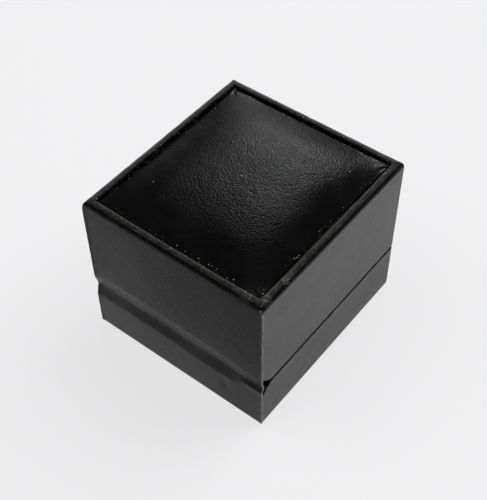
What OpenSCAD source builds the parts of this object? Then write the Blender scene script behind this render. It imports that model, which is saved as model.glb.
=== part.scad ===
// Ring display box: a tall hinged lid over a low base, both built from thin boards and
// wrapped in leatherette. The lid carries a recessed, crowned pad inside a rolled rim.
//
// Frame: origin at the middle of the resting face, +Z up. The hinge is at the back (+Y),
// the opening side at the front (-Y). Millimetres.

/* [Case] */
// Outside width, side to side
case_w = 70; // [55:0.5:100]
// Outside depth, opening side to hinge side
case_d = 75.5; // [60:0.5:100]
// Height of the base above the surface it stands on
base_h = 20; // [18:0.5:32]
// Height of the lid
lid_h = 40; // [32:0.5:60]
// Open joint between the closed lid and the base
joint_gap = 0.6; // [0.4:0.1:1]
// Radius of the two upright front corners
corner_r = 1.5; // [1.2:0.1:3]

/* [Boards] */
// Thickness of the wall boards
wall_t = 2.2; // [1.8:0.1:3]
// Thickness of the floor board of the base
floor_t = 2.2; // [1.8:0.1:3]
// Thickness of the board that closes the lid
top_t = 2.2; // [1.8:0.1:3]
// Glue joint between the front and back boards and the two side boards
board_fit = 0.02; // [0.02:0.01:0.1]

/* [Leatherette] */
// Thickness of the covering
skin_t = 0.45; // [0.35:0.05:0.6]
// Radius over the edges at the joint and round the foot
edge_r = 0.9; // [0.75:0.05:1.2]
// How far the covering turns in over the inside of the walls
turn_in = 5; // [4:0.5:6]
// How far the covering turns under the base
turn_under = 8; // [5:0.5:12]
// Thickness of the sheet glued under the base
sheet_t = 0.45; // [0.4:0.05:0.8]
// How far that sheet stays inside the outline of the base
sheet_inset = 2; // [1.5:0.1:4]

/* [Rim and pad] */
// Radius over the outer edge of the rim
rim_r_out = 1.6; // [1.2:0.1:2]
// Radius over the inner edge of the rim
rim_r_in = 0.8; // [0.7:0.05:1]
// How far the rim strip comes down over the back of the lid
rim_strip_h = 2.7; // [2.4:0.1:3.5]
// Depth of the recess that holds the pad
recess = 4.2; // [3.8:0.1:6]
// Depth of the pad's edge below the rim
pad_edge_drop = 1.5; // [1.2:0.1:1.8]
// Rise of the pad from its edge to its middle
pad_crown = 1.4; // [0.6:0.1:1.5]
// How far the pad's long sides are drawn in between the corners
pad_draw_side = 1.1; // [0.5:0.1:1.5]
// How far the pad's front and back are drawn in between the corners
pad_draw_end = 0.8; // [0.4:0.1:1.5]
// Clearance between the pad's corners and the rim
pad_fit = 0.08; // [0.05:0.01:0.3]
// Thickness of the card inside the pad
pad_card_t = 1; // [0.6:0.1:1.4]

/* [Hinge] */
// Size of the 45 degree bevels that open the joint at the back
bevel = 4.5; // [4.2:0.1:5]
// Distance of the hinge axis from the back face
hinge_inset = 3.05; // [3:0.05:3.2]
// Length of the hinge
hinge_l = 46; // [30:1:50]
// Outside radius of the hinge barrels
barrel_r = 1; // [0.9:0.05:1.05]
// Radius of the hinge pin
pin_r = 0.5; // [0.4:0.05:0.6]
// Running clearance of the pin in the barrels
pin_fit = 0.03; // [0.02:0.01:0.06]
// Number of barrels, an odd number
barrels = 5; // [3:2:9]
// Clearance between neighbouring barrels
barrel_gap = 0.15; // [0.1:0.05:0.3]
// Thickness of the hinge leaves
leaf_t = 0.5; // [0.4:0.05:0.55]
// Reach of each leaf from the axis
leaf_reach = 10; // [9:0.5:11]
// Number of rivets in each leaf
rivets = 3; // [2:1:5]
// Radius of a rivet's shank
rivet_r = 0.6; // [0.4:0.05:0.8]
// Distance of the rivets from the edge of their leaf
rivet_in = 2.4; // [2:0.1:3]
// How far a rivet goes into its board
rivet_bite = 1.4; // [1:0.1:1.6]
// Radius of a rivet's head
rivet_head_r = 1.1; // [1:0.05:1.4]
// Thickness of a rivet's head
rivet_head_t = 0.3; // [0.2:0.05:0.4]
// Width of the snap spring
spring_w = 8; // [6:0.5:9]
// Thickness of the snap spring
spring_t = 0.25; // [0.2:0.05:0.4]
// Reach of the snap spring from the axis, up and down
spring_reach = 5.5; // [4.5:0.5:6]
// How deep the covering is creased over the joint
crease = 1.5; // [1.3:0.05:1.5]

/* [Insert] */
// Gap between the walls' turned-in covering and the lining
lining_fit = 0.5; // [0.45:0.05:0.8]
// Thickness of the lined card inside the lid and the base
lining_t = 1.2; // [0.8:0.1:1.6]
// How far the lined neck of the base stands above the base's edge
neck_rise = 2; // [1.5:0.1:3]
// Clearance between the lid's lining and the neck
neck_fit = 0.4; // [0.3:0.1:0.8]
// Thickness of the card under the ring cushions
cushion_card_t = 1.2; // [0.8:0.1:2]
// Height of the ring cushions at their edge
cushion_edge_h = 9.2; // [7:0.1:9.5]
// Rise of each cushion from its edge to its crown
cushion_crown = 2.8; // [1.5:0.1:3]
// How far the cushions' sides are drawn in between the corners
cushion_draw = 0.7; // [0.3:0.1:1.2]
// Width of the slot between the cushions at its ends
slot_w = 0.8; // [0.5:0.1:2]
// How far each cushion's long sides are drawn in between the corners
slot_draw = 0.3; // [0.1:0.1:0.6]
// Clearance round the cushions and the inner pad
insert_fit = 0.2; // [0.15:0.05:0.4]
// Thickness of the card behind the inner pad of the lid
inner_card_t = 1; // [0.6:0.1:1.5]
// Thickness of the lid's inner pad at its edge
inner_pad_edge = 1.8; // [1.2:0.1:3]
// Rise of the inner pad from its edge to its middle
inner_pad_crown = 1.6; // [0.8:0.1:2.5]

/* [Hidden] */

$fn = 48;

// Half sizes of the case
half_w = case_w / 2;
half_d = case_d / 2;

// Levels
base_foot = sheet_t;                    // underside of the covered base
lid_foot = base_h + joint_gap;          // lower edge of the lid
lid_top = lid_foot + lid_h;             // top of the rim
plate_top = lid_top - recess;           // floor of the pad's recess
strip_foot = lid_top - rim_strip_h;     // lower edge of the rim strip at the back
axis_z = base_h + joint_gap / 2;
axis_y = half_d - hinge_inset;

// Insets, all measured from the outside of the covering
inner_in = skin_t + wall_t;             // inner face of the boards
rim_in = inner_in + skin_t;             // inner face of the turned-in covering
lining_in = rim_in + lining_fit;        // outer face of the lining and the neck
insert_in = lining_in + lining_t;       // inner face of the lining and the neck

// Radii on the inside of the covering
rim_inner_core = rim_r_in - skin_t;
edge_in = 0.7 * edge_r;                 // inner edge at the joint
edge_inner_core = max(edge_in - skin_t, 0.1);

neck_top = base_h + neck_rise;
lining_foot = neck_top + neck_fit;
far = 2 * (case_w + case_d + lid_h);    // longer than anything here
tiny = 0.01;

leather = [0.13, 0.13, 0.135];
leather_side = [0.2, 0.2, 0.2];
board = [0.62, 0.52, 0.4];
card = [0.75, 0.72, 0.66];
velvet = [0.09, 0.09, 0.1];
foam = [0.82, 0.8, 0.72];
steel = [0.72, 0.72, 0.74];

// ---------------------------------------------------------------- outlines and prisms

// Plan of the case at an inset: sharp at the back, rounded at the two front corners
module plan(inset) {
    w = half_w - inset;
    d = half_d - inset;
    r = corner_r - inset;
    if (r > tiny) {
        translate([-w, r - d]) square([2 * w, 2 * d - r]);
        translate([r - w, -d]) square([2 * (w - r), 2 * r]);
        for (s = [-1, 1]) translate([s * (w - r), r - d]) circle(r);
    } else {
        translate([-w, -d]) square([2 * w, 2 * d]);
    }
}

// Upright section of a block: lower corners of radius r0, upper corners of radius r1
module slab_section(half, z0, z1, r0, r1) {
    translate([-half, z0 + r0]) square([2 * half, z1 - z0 - r0 - r1]);
    translate([r0 - half, z0]) square([2 * (half - r0), 2 * r0]);
    translate([r1 - half, z1 - 2 * r1]) square([2 * (half - r1), 2 * r1]);
    for (s = [-1, 1]) {
        translate([s * (half - r0), z0 + r0]) circle(r0);
        translate([s * (half - r1), z1 - r1]) circle(r1);
    }
}

// Upright section of an opening whose mouths are rounded over outwards
module mouth_section(half, z0, z1, r0, r1) {
    translate([-half, z0 - tiny]) square([2 * half, z1 - z0 + 2 * tiny]);
    for (s = [-1, 1]) {
        difference() {
            translate([s * (half + r1 / 2 - tiny / 2), z1 - r1 / 2 + tiny])
                square([r1 + tiny, r1 + 2 * tiny], center = true);
            translate([s * (half + r1), z1 - r1]) circle(r1);
        }
        difference() {
            translate([s * (half + r0 / 2 - tiny / 2), z0 + r0 / 2 - tiny])
                square([r0 + tiny, r0 + 2 * tiny], center = true);
            translate([s * (half + r0), z0 + r0]) circle(r0);
        }
    }
}

// A section drawn in Y and Z, run along X, and one drawn in X and Z, run along Y
module along_x(length = far) { rotate([90, 0, 90]) linear_extrude(length, center = true) children(); }
module along_y(length = far) { rotate([90, 0, 0]) linear_extrude(length, center = true) children(); }

// Everything behind the 45 degree line that rises (dir = 1) or falls (dir = -1) from the axis
// of the bevel, drawn in Y and Z. An inset moves the line into the wall.
module bevel_waste(dir, edge_z, inset) {
    foot = half_d - bevel - inset * (sqrt(2) - 1);
    start = edge_z + dir * inset;
    polygon([
        [foot, start],
        [foot + far, start + dir * far],
        [foot + far, start - dir * far],
        [foot, start - dir * far]
    ]);
}

// Outer block of the lid or the base, shrunk by an inset
module block(inset, z0, z1, r0, r1, bevel_dir, bevel_z) {
    intersection() {
        translate([0, 0, -far / 2]) linear_extrude(far) plan(inset);
        along_y() slab_section(half_w - inset, z0, z1, r0, r1);
        along_x() difference() {
            slab_section(half_d - inset, z0, z1, r0, r1);
            bevel_waste(bevel_dir, bevel_z, inset);
        }
    }
}

module lid_block(inset) {
    block(inset, lid_foot + inset, lid_top - inset, edge_r - inset, rim_r_out - inset, 1, lid_foot);
}

module base_block(inset) {
    block(inset, base_foot + inset, base_h - inset, edge_r - inset, edge_r - inset, -1, base_h);
}

// The hollow of the lid or the base at an inset, with rounded mouths
module hollow(inset, z0, z1, r0, r1) {
    intersection() {
        along_y() mouth_section(half_w - inset, z0, z1, r0, r1);
        along_x() mouth_section(half_d - inset, z0, z1, r0, r1);
    }
}

// Straight-sided box at an inset, between two levels
module inner_box(inset, z0, z1) {
    translate([inset - half_w, inset - half_d, z0])
        cube([case_w - 2 * inset, case_d - 2 * inset, z1 - z0]);
}

// ---------------------------------------------------------------- walls

module lid_walls() {
    difference() {
        lid_block(skin_t);
        hollow(inner_in, lid_foot + skin_t, lid_top - skin_t, edge_inner_core, rim_inner_core);
    }
}

module base_walls() {
    difference() {
        base_block(skin_t);
        translate([0, 0, -1])
            inner_box(inner_in, base_foot, base_h - edge_in);
        hollow(inner_in, base_foot - 1, base_h - skin_t, tiny, edge_inner_core);
    }
}

// The covering of all four walls of the lid, before it is cut into its pieces
module lid_skin() {
    difference() {
        lid_block(0);
        hollow(rim_in, lid_foot, lid_top, edge_in, rim_r_in);
        lid_walls();
        inner_box(inner_in, lid_foot + turn_in, plate_top);
    }
}

module base_skin() {
    difference() {
        base_block(0);
        hollow(rim_in, base_foot + skin_t, base_h, tiny, edge_in);
        inner_box(inner_in, base_foot + skin_t, base_h - turn_in);
        inner_box(turn_under, base_foot - 1, base_foot + 2 * skin_t);
        base_walls();
    }
}

// One wall cut out of four: "left" is -X, "right" is +X
module side_wall_zone(s) {
    translate([s > 0 ? half_w - inner_in : -half_w - 1, -far / 2, -far / 2])
        cube([inner_in + 1, far, far]);
}

module end_wall_zone(s) {
    edge = inner_in + board_fit;
    translate([edge - half_w, s > 0 ? 0 : -far, -far / 2])
        cube([case_w - 2 * edge, far, far]);
}

// Rivet places along a leaf
function rivet_x(i) = (i - (rivets - 1) / 2) * hinge_l / rivets;
rivet_up = leaf_reach - rivet_in;        // height of the rivets above or below the axis
rivet_hole = leaf_t + rivet_bite + 2 * tiny;

module leaf_rivet_shanks(dir, radius, depth) {
    for (i = [0 : rivets - 1])
        translate([rivet_x(i), half_d - inner_in - leaf_t - tiny, axis_z + dir * rivet_up])
            rotate([-90, 0, 0]) cylinder(r = radius, h = depth);
}

module base_left_board() { color(board) intersection() { base_walls(); side_wall_zone(-1); } }
module base_right_board() { color(board) intersection() { base_walls(); side_wall_zone(1); } }
module base_front_board() { color(board) intersection() { base_walls(); end_wall_zone(-1); } }
module base_back_board() {
    color(board) difference() {
        intersection() { base_walls(); end_wall_zone(1); }
        leaf_rivet_shanks(-1, rivet_r + pin_fit, rivet_hole);
    }
}

module lid_left_board() { color(board) intersection() { lid_walls(); side_wall_zone(-1); } }
module lid_right_board() { color(board) intersection() { lid_walls(); side_wall_zone(1); } }
module lid_front_board() { color(board) intersection() { lid_walls(); end_wall_zone(-1); } }
module lid_back_board() {
    color(board) difference() {
        intersection() { lid_walls(); end_wall_zone(1); }
        leaf_rivet_shanks(1, rivet_r + pin_fit, rivet_hole);
    }
}

module base_floor_board() {
    color(board) inner_box(inner_in, base_foot + skin_t, base_foot + skin_t + floor_t);
}

module lid_top_board() { color(board) inner_box(inner_in, plate_top - top_t, plate_top); }

module base_bottom_sheet() { color(leather) inner_box(sheet_inset, 0, sheet_t); }

// ---------------------------------------------------------------- coverings

// The covering goes round the sides and the front in one piece. The back has its own.
module back_zone(z0, z1) {
    translate([inner_in - half_w, half_d - rim_in - tiny, z0])
        cube([case_w - 2 * inner_in, rim_in + 1, z1 - z0]);
}

module back_sheet(z0, z1) {
    translate([-half_w, half_d - skin_t, z0]) cube([case_w, skin_t, z1 - z0]);
}

// Plan of the rim strip: its ends are cut at 45 degrees at the two back corners
module strip_zone(z0, z1) {
    reach = rim_in + 1;
    translate([0, 0, z0]) linear_extrude(z1 - z0)
        polygon([[half_w, half_d], [-half_w, half_d],
                 [reach - half_w, half_d - reach], [half_w - reach, half_d - reach]]);
}

module lid_side_cover() {
    color(leather_side) difference() {
        lid_skin();
        back_zone(lid_foot - 1, strip_foot);
        translate([0, 0, -tiny]) back_sheet(lid_foot - 1, strip_foot);
        strip_zone(plate_top, lid_top + 1);
    }
}

module lid_rim_strip() {
    color(leather) difference() {
        intersection() { lid_skin(); strip_zone(plate_top, lid_top + 1); }
        back_sheet(plate_top - 1, strip_foot);
    }
}

// The sheet leaves the walls where the bevels meet the inside of the sheet
fold_top = lid_foot + bevel - skin_t;
fold_foot = base_h - bevel + skin_t;

module lid_back_cover() { color(leather) back_sheet(fold_top, strip_foot); }

module base_side_cover() {
    color(leather_side) difference() {
        base_skin();
        back_zone(base_foot + 2 * skin_t, base_h + 1);
        back_sheet(base_foot - 1, base_h + 1);
    }
}

module base_back_cover() { color(leather) back_sheet(base_foot, fold_foot); }

// Free stretch of the back covering, creased in towards the hinge
module hinge_fold() {
    steps = 16;
    outer = [for (i = [0 : steps]) fold_point(i / steps, 0)];
    inner = [for (i = [steps : -1 : 0]) fold_point(i / steps, skin_t)];
    color(leather) along_x(case_w) polygon(concat(outer, inner));
}

// A point of the fold, t from its foot to its top: straight flanks, rounded where they meet
function fold_point(t, depth) =
    let (across = abs(2 * t - 1), sharp = 0.18)
    [half_d - depth - crease * (1 - (sqrt(across * across + sharp * sharp) - sharp)
        / (sqrt(1 + sharp * sharp) - sharp)), fold_foot + (fold_top - fold_foot) * t];

// ---------------------------------------------------------------- soft forms

// Points of a crowned surface on a rectangular plan, row by row. Its sides are drawn in between
// the corners by draw = [x, y], and its edge is rolled over down to the foot.
function crown_points(half, draw, edge_h, crown, steps, roll) =
    let (line = [for (i = [0 : steps]) sin(90 * (2 * i / steps - 1))])
    [for (v = line) for (u = line) [
        u * (half[0] - draw[0] * (1 - v * v)),
        v * (half[1] - draw[1] * (1 - u * u)),
        (edge_h + crown * (1 - u * u) * (1 - v * v)) * rolled(u, roll) * rolled(v, roll)
    ]];

// Its triangles, from point number first on
function crown_faces(steps, first = 0) =
    let (n = steps + 1)
    [for (j = [0 : steps - 1]) for (i = [0 : steps - 1])
        let (a = first + j * n + i) each [[a, a + n, a + n + 1], [a, a + n + 1, a + 1]]];

// The numbers of its edge points, once round
function crown_rim(steps, first = 0) =
    let (n = steps + 1)
    concat(
        [for (i = [0 : steps - 1]) first + i],
        [for (i = [0 : steps - 1]) first + i * n + steps],
        [for (i = [steps : -1 : 1]) first + steps * n + i],
        [for (i = [steps : -1 : 1]) first + i * n]
    );

// A rectangle at a height, with as many points as that edge has
function frame_points(half, z, steps) =
    let (line = [for (i = [0 : steps]) sin(90 * (2 * i / steps - 1))])
    [for (k = [0 : 4 * steps - 1])
        let (i = k % steps, side = floor(k / steps))
        [
            half[0] * [line[i], 1, line[steps - i], -1][side],
            half[1] * [-1, line[i], 1, line[steps - i]][side],
            z
        ]];

// Triangles between two loops of as many points, and from a loop to one point
function band(a, b) = [for (k = [0 : len(a) - 1])
    let (m = (k + 1) % len(a)) each [[a[k], a[m], b[k]], [a[m], b[m], b[k]]]];
function fan(a, middle) = [for (k = [0 : len(a) - 1]) [a[k], a[(k + 1) % len(a)], middle]];
function run(first, count) = [for (k = [0 : count - 1]) first + k];

// Crowned closed form with a flat foot
module crowned_form(half, draw, edge_h, crown, steps, roll) {
    top = crown_points(half, draw, edge_h, crown, steps, roll);
    polyhedron(points = concat(top, [[0, 0, 0]]),
               faces = concat(fan(crown_rim(steps), len(top)), crown_faces(steps)));
}

// Height factor of a rolled edge: 1 over the middle, 0 at the edge
function rolled(t, roll) = pow(max(1 - pow(abs(t), roll), 0), 1 / roll);

pad_steps = 18;
pad_roll = 9;
pad_half = [half_w - rim_in - pad_fit, half_d - rim_in - pad_fit];
pad_edge_h = recess - pad_edge_drop;
pad_draw = [pad_draw_side, pad_draw_end];
pad_loop = 4 * pad_steps;
pad_count = (pad_steps + 1) * (pad_steps + 1);

// The pad's upper surface, and the same inside its covering, both from the recess's floor
pad_outside = crown_points(pad_half, pad_draw, pad_edge_h, pad_crown, pad_steps, pad_roll);
pad_inside = [for (p = crown_points([pad_half[0] - 1.3 * skin_t, pad_half[1] - 1.3 * skin_t], pad_draw,
                                    pad_edge_h - 2 * skin_t, pad_crown, pad_steps, pad_roll))
    p + [0, 0, skin_t]];

// The covering goes over the pad and a little way in under its card
module lid_pad_cover() {
    window_in = rim_in + pad_draw_side + turn_under;
    window = [half_w - window_in, half_d - window_in];
    low = run(2 * pad_count, pad_loop);
    high = run(2 * pad_count + pad_loop, pad_loop);
    inside = [for (f = crown_faces(pad_steps, pad_count)) [f[0], f[2], f[1]]];
    color(leather) translate([0, 0, plate_top]) polyhedron(
        points = concat(pad_outside, pad_inside, frame_points(window, 0, pad_steps),
                        frame_points(window, skin_t, pad_steps)),
        faces = concat(band(crown_rim(pad_steps), low), band(low, high),
                       band(high, crown_rim(pad_steps, pad_count)),
                       crown_faces(pad_steps), inside)
    );
}

pad_card_inset = rim_in + pad_draw_side + 2 * skin_t;

module lid_pad_card() {
    color(card) inner_box(pad_card_inset, plate_top + skin_t, plate_top + skin_t + pad_card_t);
}

// The foam fills the covering, over the card and round its edge
module lid_pad_foam() {
    on_card = [half_w - pad_card_inset, half_d - pad_card_inset];
    low = run(pad_count, pad_loop);
    high = run(pad_count + pad_loop, pad_loop);
    color(foam) translate([0, 0, plate_top]) polyhedron(
        points = concat(pad_inside, frame_points(on_card, skin_t, pad_steps),
                        frame_points(on_card, skin_t + pad_card_t, pad_steps),
                        [[0, 0, skin_t + pad_card_t]]),
        faces = concat(band(crown_rim(pad_steps), low), band(low, high),
                       fan(high, pad_count + 2 * pad_loop), crown_faces(pad_steps))
    );
}

cushion_foot = base_foot + skin_t + floor_t + cushion_card_t;
cushion_depth = half_d - insert_in - insert_fit - slot_w / 2;

module cushion_card() {
    color(card) inner_box(insert_in + insert_fit, cushion_foot - cushion_card_t, cushion_foot);
}

module ring_cushion(dir) {
    color(velvet) translate([0, dir * (slot_w + cushion_depth) / 2, cushion_foot])
        crowned_form([half_w - insert_in - insert_fit, cushion_depth / 2],
                     [cushion_draw, slot_draw], cushion_edge_h, cushion_crown, 16, 5);
}

module ring_cushion_front() { ring_cushion(-1); }
module ring_cushion_rear() { ring_cushion(1); }

inner_card_foot = plate_top - top_t - inner_card_t;

module lid_inner_card() {
    color(card) inner_box(insert_in + insert_fit, inner_card_foot, inner_card_foot + inner_card_t);
}

module lid_inner_pad() {
    color(velvet) translate([0, 0, inner_card_foot]) mirror([0, 0, 1])
        crowned_form([half_w - insert_in - insert_fit, half_d - insert_in - insert_fit],
                     [cushion_draw, cushion_draw], inner_pad_edge, inner_pad_crown, 16, 9);
}

// ---------------------------------------------------------------- lining

// Lined card that stands round the inside of the walls
module lined_frame(z0, z1) {
    difference() {
        inner_box(lining_in, z0, z1);
        inner_box(insert_in, z0 - 1, z1 + 1);
    }
}

// Room for the snap spring in a lining, and for the hinge barrels
module spring_room(dir) {
    height = spring_reach + 1.5;
    translate([0, half_d - lining_in, axis_z + dir * height / 2])
        cube([spring_w + 1, 2 * lining_t + 2, height], center = true);
}

barrel_room = barrel_r + 0.4;

module base_neck() {
    floor_top = base_foot + skin_t + floor_t;
    color(velvet) difference() {
        lined_frame(floor_top, neck_top);
        translate([-half_w, half_d - insert_in - tiny, axis_z - barrel_room])
            cube([case_w, rim_in, far]);
        spring_room(-1);
    }
}

module lid_lining() {
    color(velvet) difference() {
        lined_frame(lining_foot, plate_top - top_t);
        spring_room(1);
    }
}

// ---------------------------------------------------------------- hinge

barrel_l = (hinge_l - (barrels - 1) * barrel_gap) / barrels;
function barrel_x(i) = -hinge_l / 2 + i * (barrel_l + barrel_gap);

// One leaf: dir = -1 lies on the base's back board, dir = 1 on the lid's. The base's leaf
// carries the even barrels and the lid's leaf the odd ones.
module leaf(dir, first) {
    plate_y = half_d - inner_in - leaf_t;
    root = barrel_r + 0.3;
    difference() {
        union() {
            translate([-hinge_l / 2, plate_y, dir > 0 ? axis_z + root : axis_z - leaf_reach])
                cube([hinge_l, leaf_t, leaf_reach - root]);
            for (i = [first : 2 : barrels - 1]) translate([barrel_x(i), 0, axis_z]) {
                translate([0, axis_y, 0]) rotate([0, 90, 0]) cylinder(r = barrel_r, h = barrel_l);
                translate([0, plate_y, dir > 0 ? 0 : -root - tiny])
                    cube([barrel_l, leaf_t, root + tiny]);
            }
        }
        translate([-far / 2, axis_y, axis_z]) rotate([0, 90, 0]) cylinder(r = pin_r + pin_fit, h = far);
        leaf_rivet_shanks(dir, rivet_r + pin_fit, rivet_hole);
    }
}

module hinge_base_leaf() { color(steel) leaf(-1, 0); }
module hinge_lid_leaf() { color(steel) leaf(1, 1); }

module hinge_pin() {
    head_t = 0.5;
    color(steel) translate([0, axis_y, axis_z]) rotate([0, 90, 0]) {
        cylinder(r = pin_r, h = hinge_l + 0.2, center = true);
        for (s = [-1, 1]) translate([0, 0, s * (hinge_l / 2 + 0.1 + head_t / 2)])
            cylinder(r = 0.85 * barrel_r, h = head_t, center = true);
    }
}

module leaf_rivets(dir) {
    for (i = [0 : rivets - 1])
        translate([rivet_x(i), half_d - inner_in - leaf_t, axis_z + dir * rivet_up])
            rotate([-90, 0, 0]) {
                cylinder(r = rivet_r, h = leaf_t + rivet_bite);
                translate([0, 0, -rivet_head_t]) cylinder(r = rivet_head_r, h = rivet_head_t);
            }
}

module base_leaf_rivets() { color(steel) leaf_rivets(-1); }
module lid_leaf_rivets() { color(steel) leaf_rivets(1); }

// Bowed strip between the two leaves, past the inside of the barrels
module hinge_spring() {
    plate_y = half_d - inner_in - leaf_t;
    apex = axis_y - barrel_r - 0.2 - spring_t;      // innermost face of the strip
    sag = plate_y - apex - spring_t;
    bow_r = (spring_reach * spring_reach + sag * sag) / (2 * sag);
    color(steel) intersection() {
        translate([0, apex + spring_t + bow_r, axis_z]) rotate([0, 90, 0]) difference() {
            cylinder(r = bow_r + spring_t, h = spring_w, center = true);
            cylinder(r = bow_r, h = far, center = true);
        }
        translate([0, plate_y - tiny - far / 2, axis_z])
            cube([far, far, 2 * spring_reach + spring_t], center = true);
    }
}

base_bottom_sheet();
base_floor_board();
base_front_board();
base_left_board();
base_right_board();
base_back_board();
base_side_cover();
base_back_cover();
base_neck();
cushion_card();
ring_cushion_front();
ring_cushion_rear();
hinge_base_leaf();
hinge_pin();
base_leaf_rivets();
hinge_spring();
hinge_fold();
lid_front_board();
lid_left_board();
lid_right_board();
lid_back_board();
lid_top_board();
lid_side_cover();
lid_back_cover();
lid_rim_strip();
lid_pad_card();
lid_pad_foam();
lid_pad_cover();
lid_lining();
lid_inner_card();
lid_inner_pad();
hinge_lid_leaf();
lid_leaf_rivets();
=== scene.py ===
"""Looks of a hinged ring display box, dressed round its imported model.

The box is wrapped in near-black leatherette: a tall lid with a recessed padded top inside a rolled
rim, over a low base. Lengths in this file are millimetres until a mesh is made. The frame is that of
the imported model: origin under the middle of the box, +Z up, the hinge at the back (+Y).
"""

import logging
import math
from dataclasses import dataclass, field
from enum import Enum
from typing import Iterable, Sequence

import bmesh
import bpy
import numpy as np
from mathutils import Matrix, Vector, noise


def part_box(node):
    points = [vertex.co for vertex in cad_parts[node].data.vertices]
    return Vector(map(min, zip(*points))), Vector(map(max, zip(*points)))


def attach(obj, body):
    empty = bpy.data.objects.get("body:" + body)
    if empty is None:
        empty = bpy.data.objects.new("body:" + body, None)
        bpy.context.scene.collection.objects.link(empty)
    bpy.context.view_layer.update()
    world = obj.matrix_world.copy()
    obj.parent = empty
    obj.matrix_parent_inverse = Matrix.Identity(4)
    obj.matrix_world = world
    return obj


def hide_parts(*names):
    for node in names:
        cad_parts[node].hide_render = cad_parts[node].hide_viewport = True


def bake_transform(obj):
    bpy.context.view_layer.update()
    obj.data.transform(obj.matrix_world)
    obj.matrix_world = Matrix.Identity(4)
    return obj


MM = 0.001
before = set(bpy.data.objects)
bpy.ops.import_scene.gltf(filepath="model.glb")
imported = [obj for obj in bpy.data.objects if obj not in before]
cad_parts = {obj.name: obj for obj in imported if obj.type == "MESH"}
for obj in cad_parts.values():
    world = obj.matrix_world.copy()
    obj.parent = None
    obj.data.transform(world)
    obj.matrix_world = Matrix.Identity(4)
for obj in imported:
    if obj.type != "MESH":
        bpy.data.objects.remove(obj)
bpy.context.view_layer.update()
LOG = logging.getLogger("ring_box")

Value = "float | Signal"
Colour = tuple[float, float, float]


# ---------------------------------------------------------------- sizes


def node_box(node: str) -> tuple[np.ndarray, np.ndarray]:
    """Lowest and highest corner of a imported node, in millimetres.

    Args:
        node: The node's name.

    Returns:
        The two corners.
    """
    low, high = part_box(node)
    return np.array(low) / MM, np.array(high) / MM


@dataclass(frozen=True)
class CaseSizes:
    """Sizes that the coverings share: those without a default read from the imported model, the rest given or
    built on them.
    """

    half_w: float
    half_d: float
    foot: float
    base_top: float
    lid_foot: float
    lid_top: float
    recess_floor: float
    strip_foot: float
    fold_low: float
    fold_high: float
    skin: float
    rim_in: float
    corner_r: float = 0.7
    least_r: float = 0.25
    edge_r: float = 0.55
    edge_in: float = 0.63
    rim_r_out: float = 2.1
    rim_r_in: float = 0.7
    rim_lean: float = 0.2
    turn_in: float = 5.0
    turn_under: float = 8.0
    soften: float = 0.5

    @classmethod
    def from_frame(cls) -> "CaseSizes":
        """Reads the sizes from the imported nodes.

        Returns:
            The sizes.
        """
        lid_low, lid_high = node_box("lid_side_cover")
        base_low, base_high = node_box("base_side_cover")
        strip_low, strip_high = node_box("lid_rim_strip")
        sheet_low, sheet_high = node_box("lid_back_cover")
        fold_low, fold_high = node_box("hinge_fold")
        return cls(
            half_w=lid_high[0],
            half_d=lid_high[1],
            foot=base_low[2],
            base_top=base_high[2],
            lid_foot=lid_low[2],
            lid_top=lid_high[2],
            recess_floor=node_box("lid_pad_cover")[0][2],
            strip_foot=sheet_high[2],
            fold_low=fold_low[2],
            fold_high=fold_high[2],
            skin=sheet_high[1] - sheet_low[1],
            rim_in=strip_high[1] - strip_low[1],
        )

    @property
    def bevel(self) -> float:
        """Size of the 45 degree bevels at the back of the joint."""
        return self.fold_high + self.skin - self.lid_foot


SIZES = CaseSizes.from_frame()


# ---------------------------------------------------------------- shader signals


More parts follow.
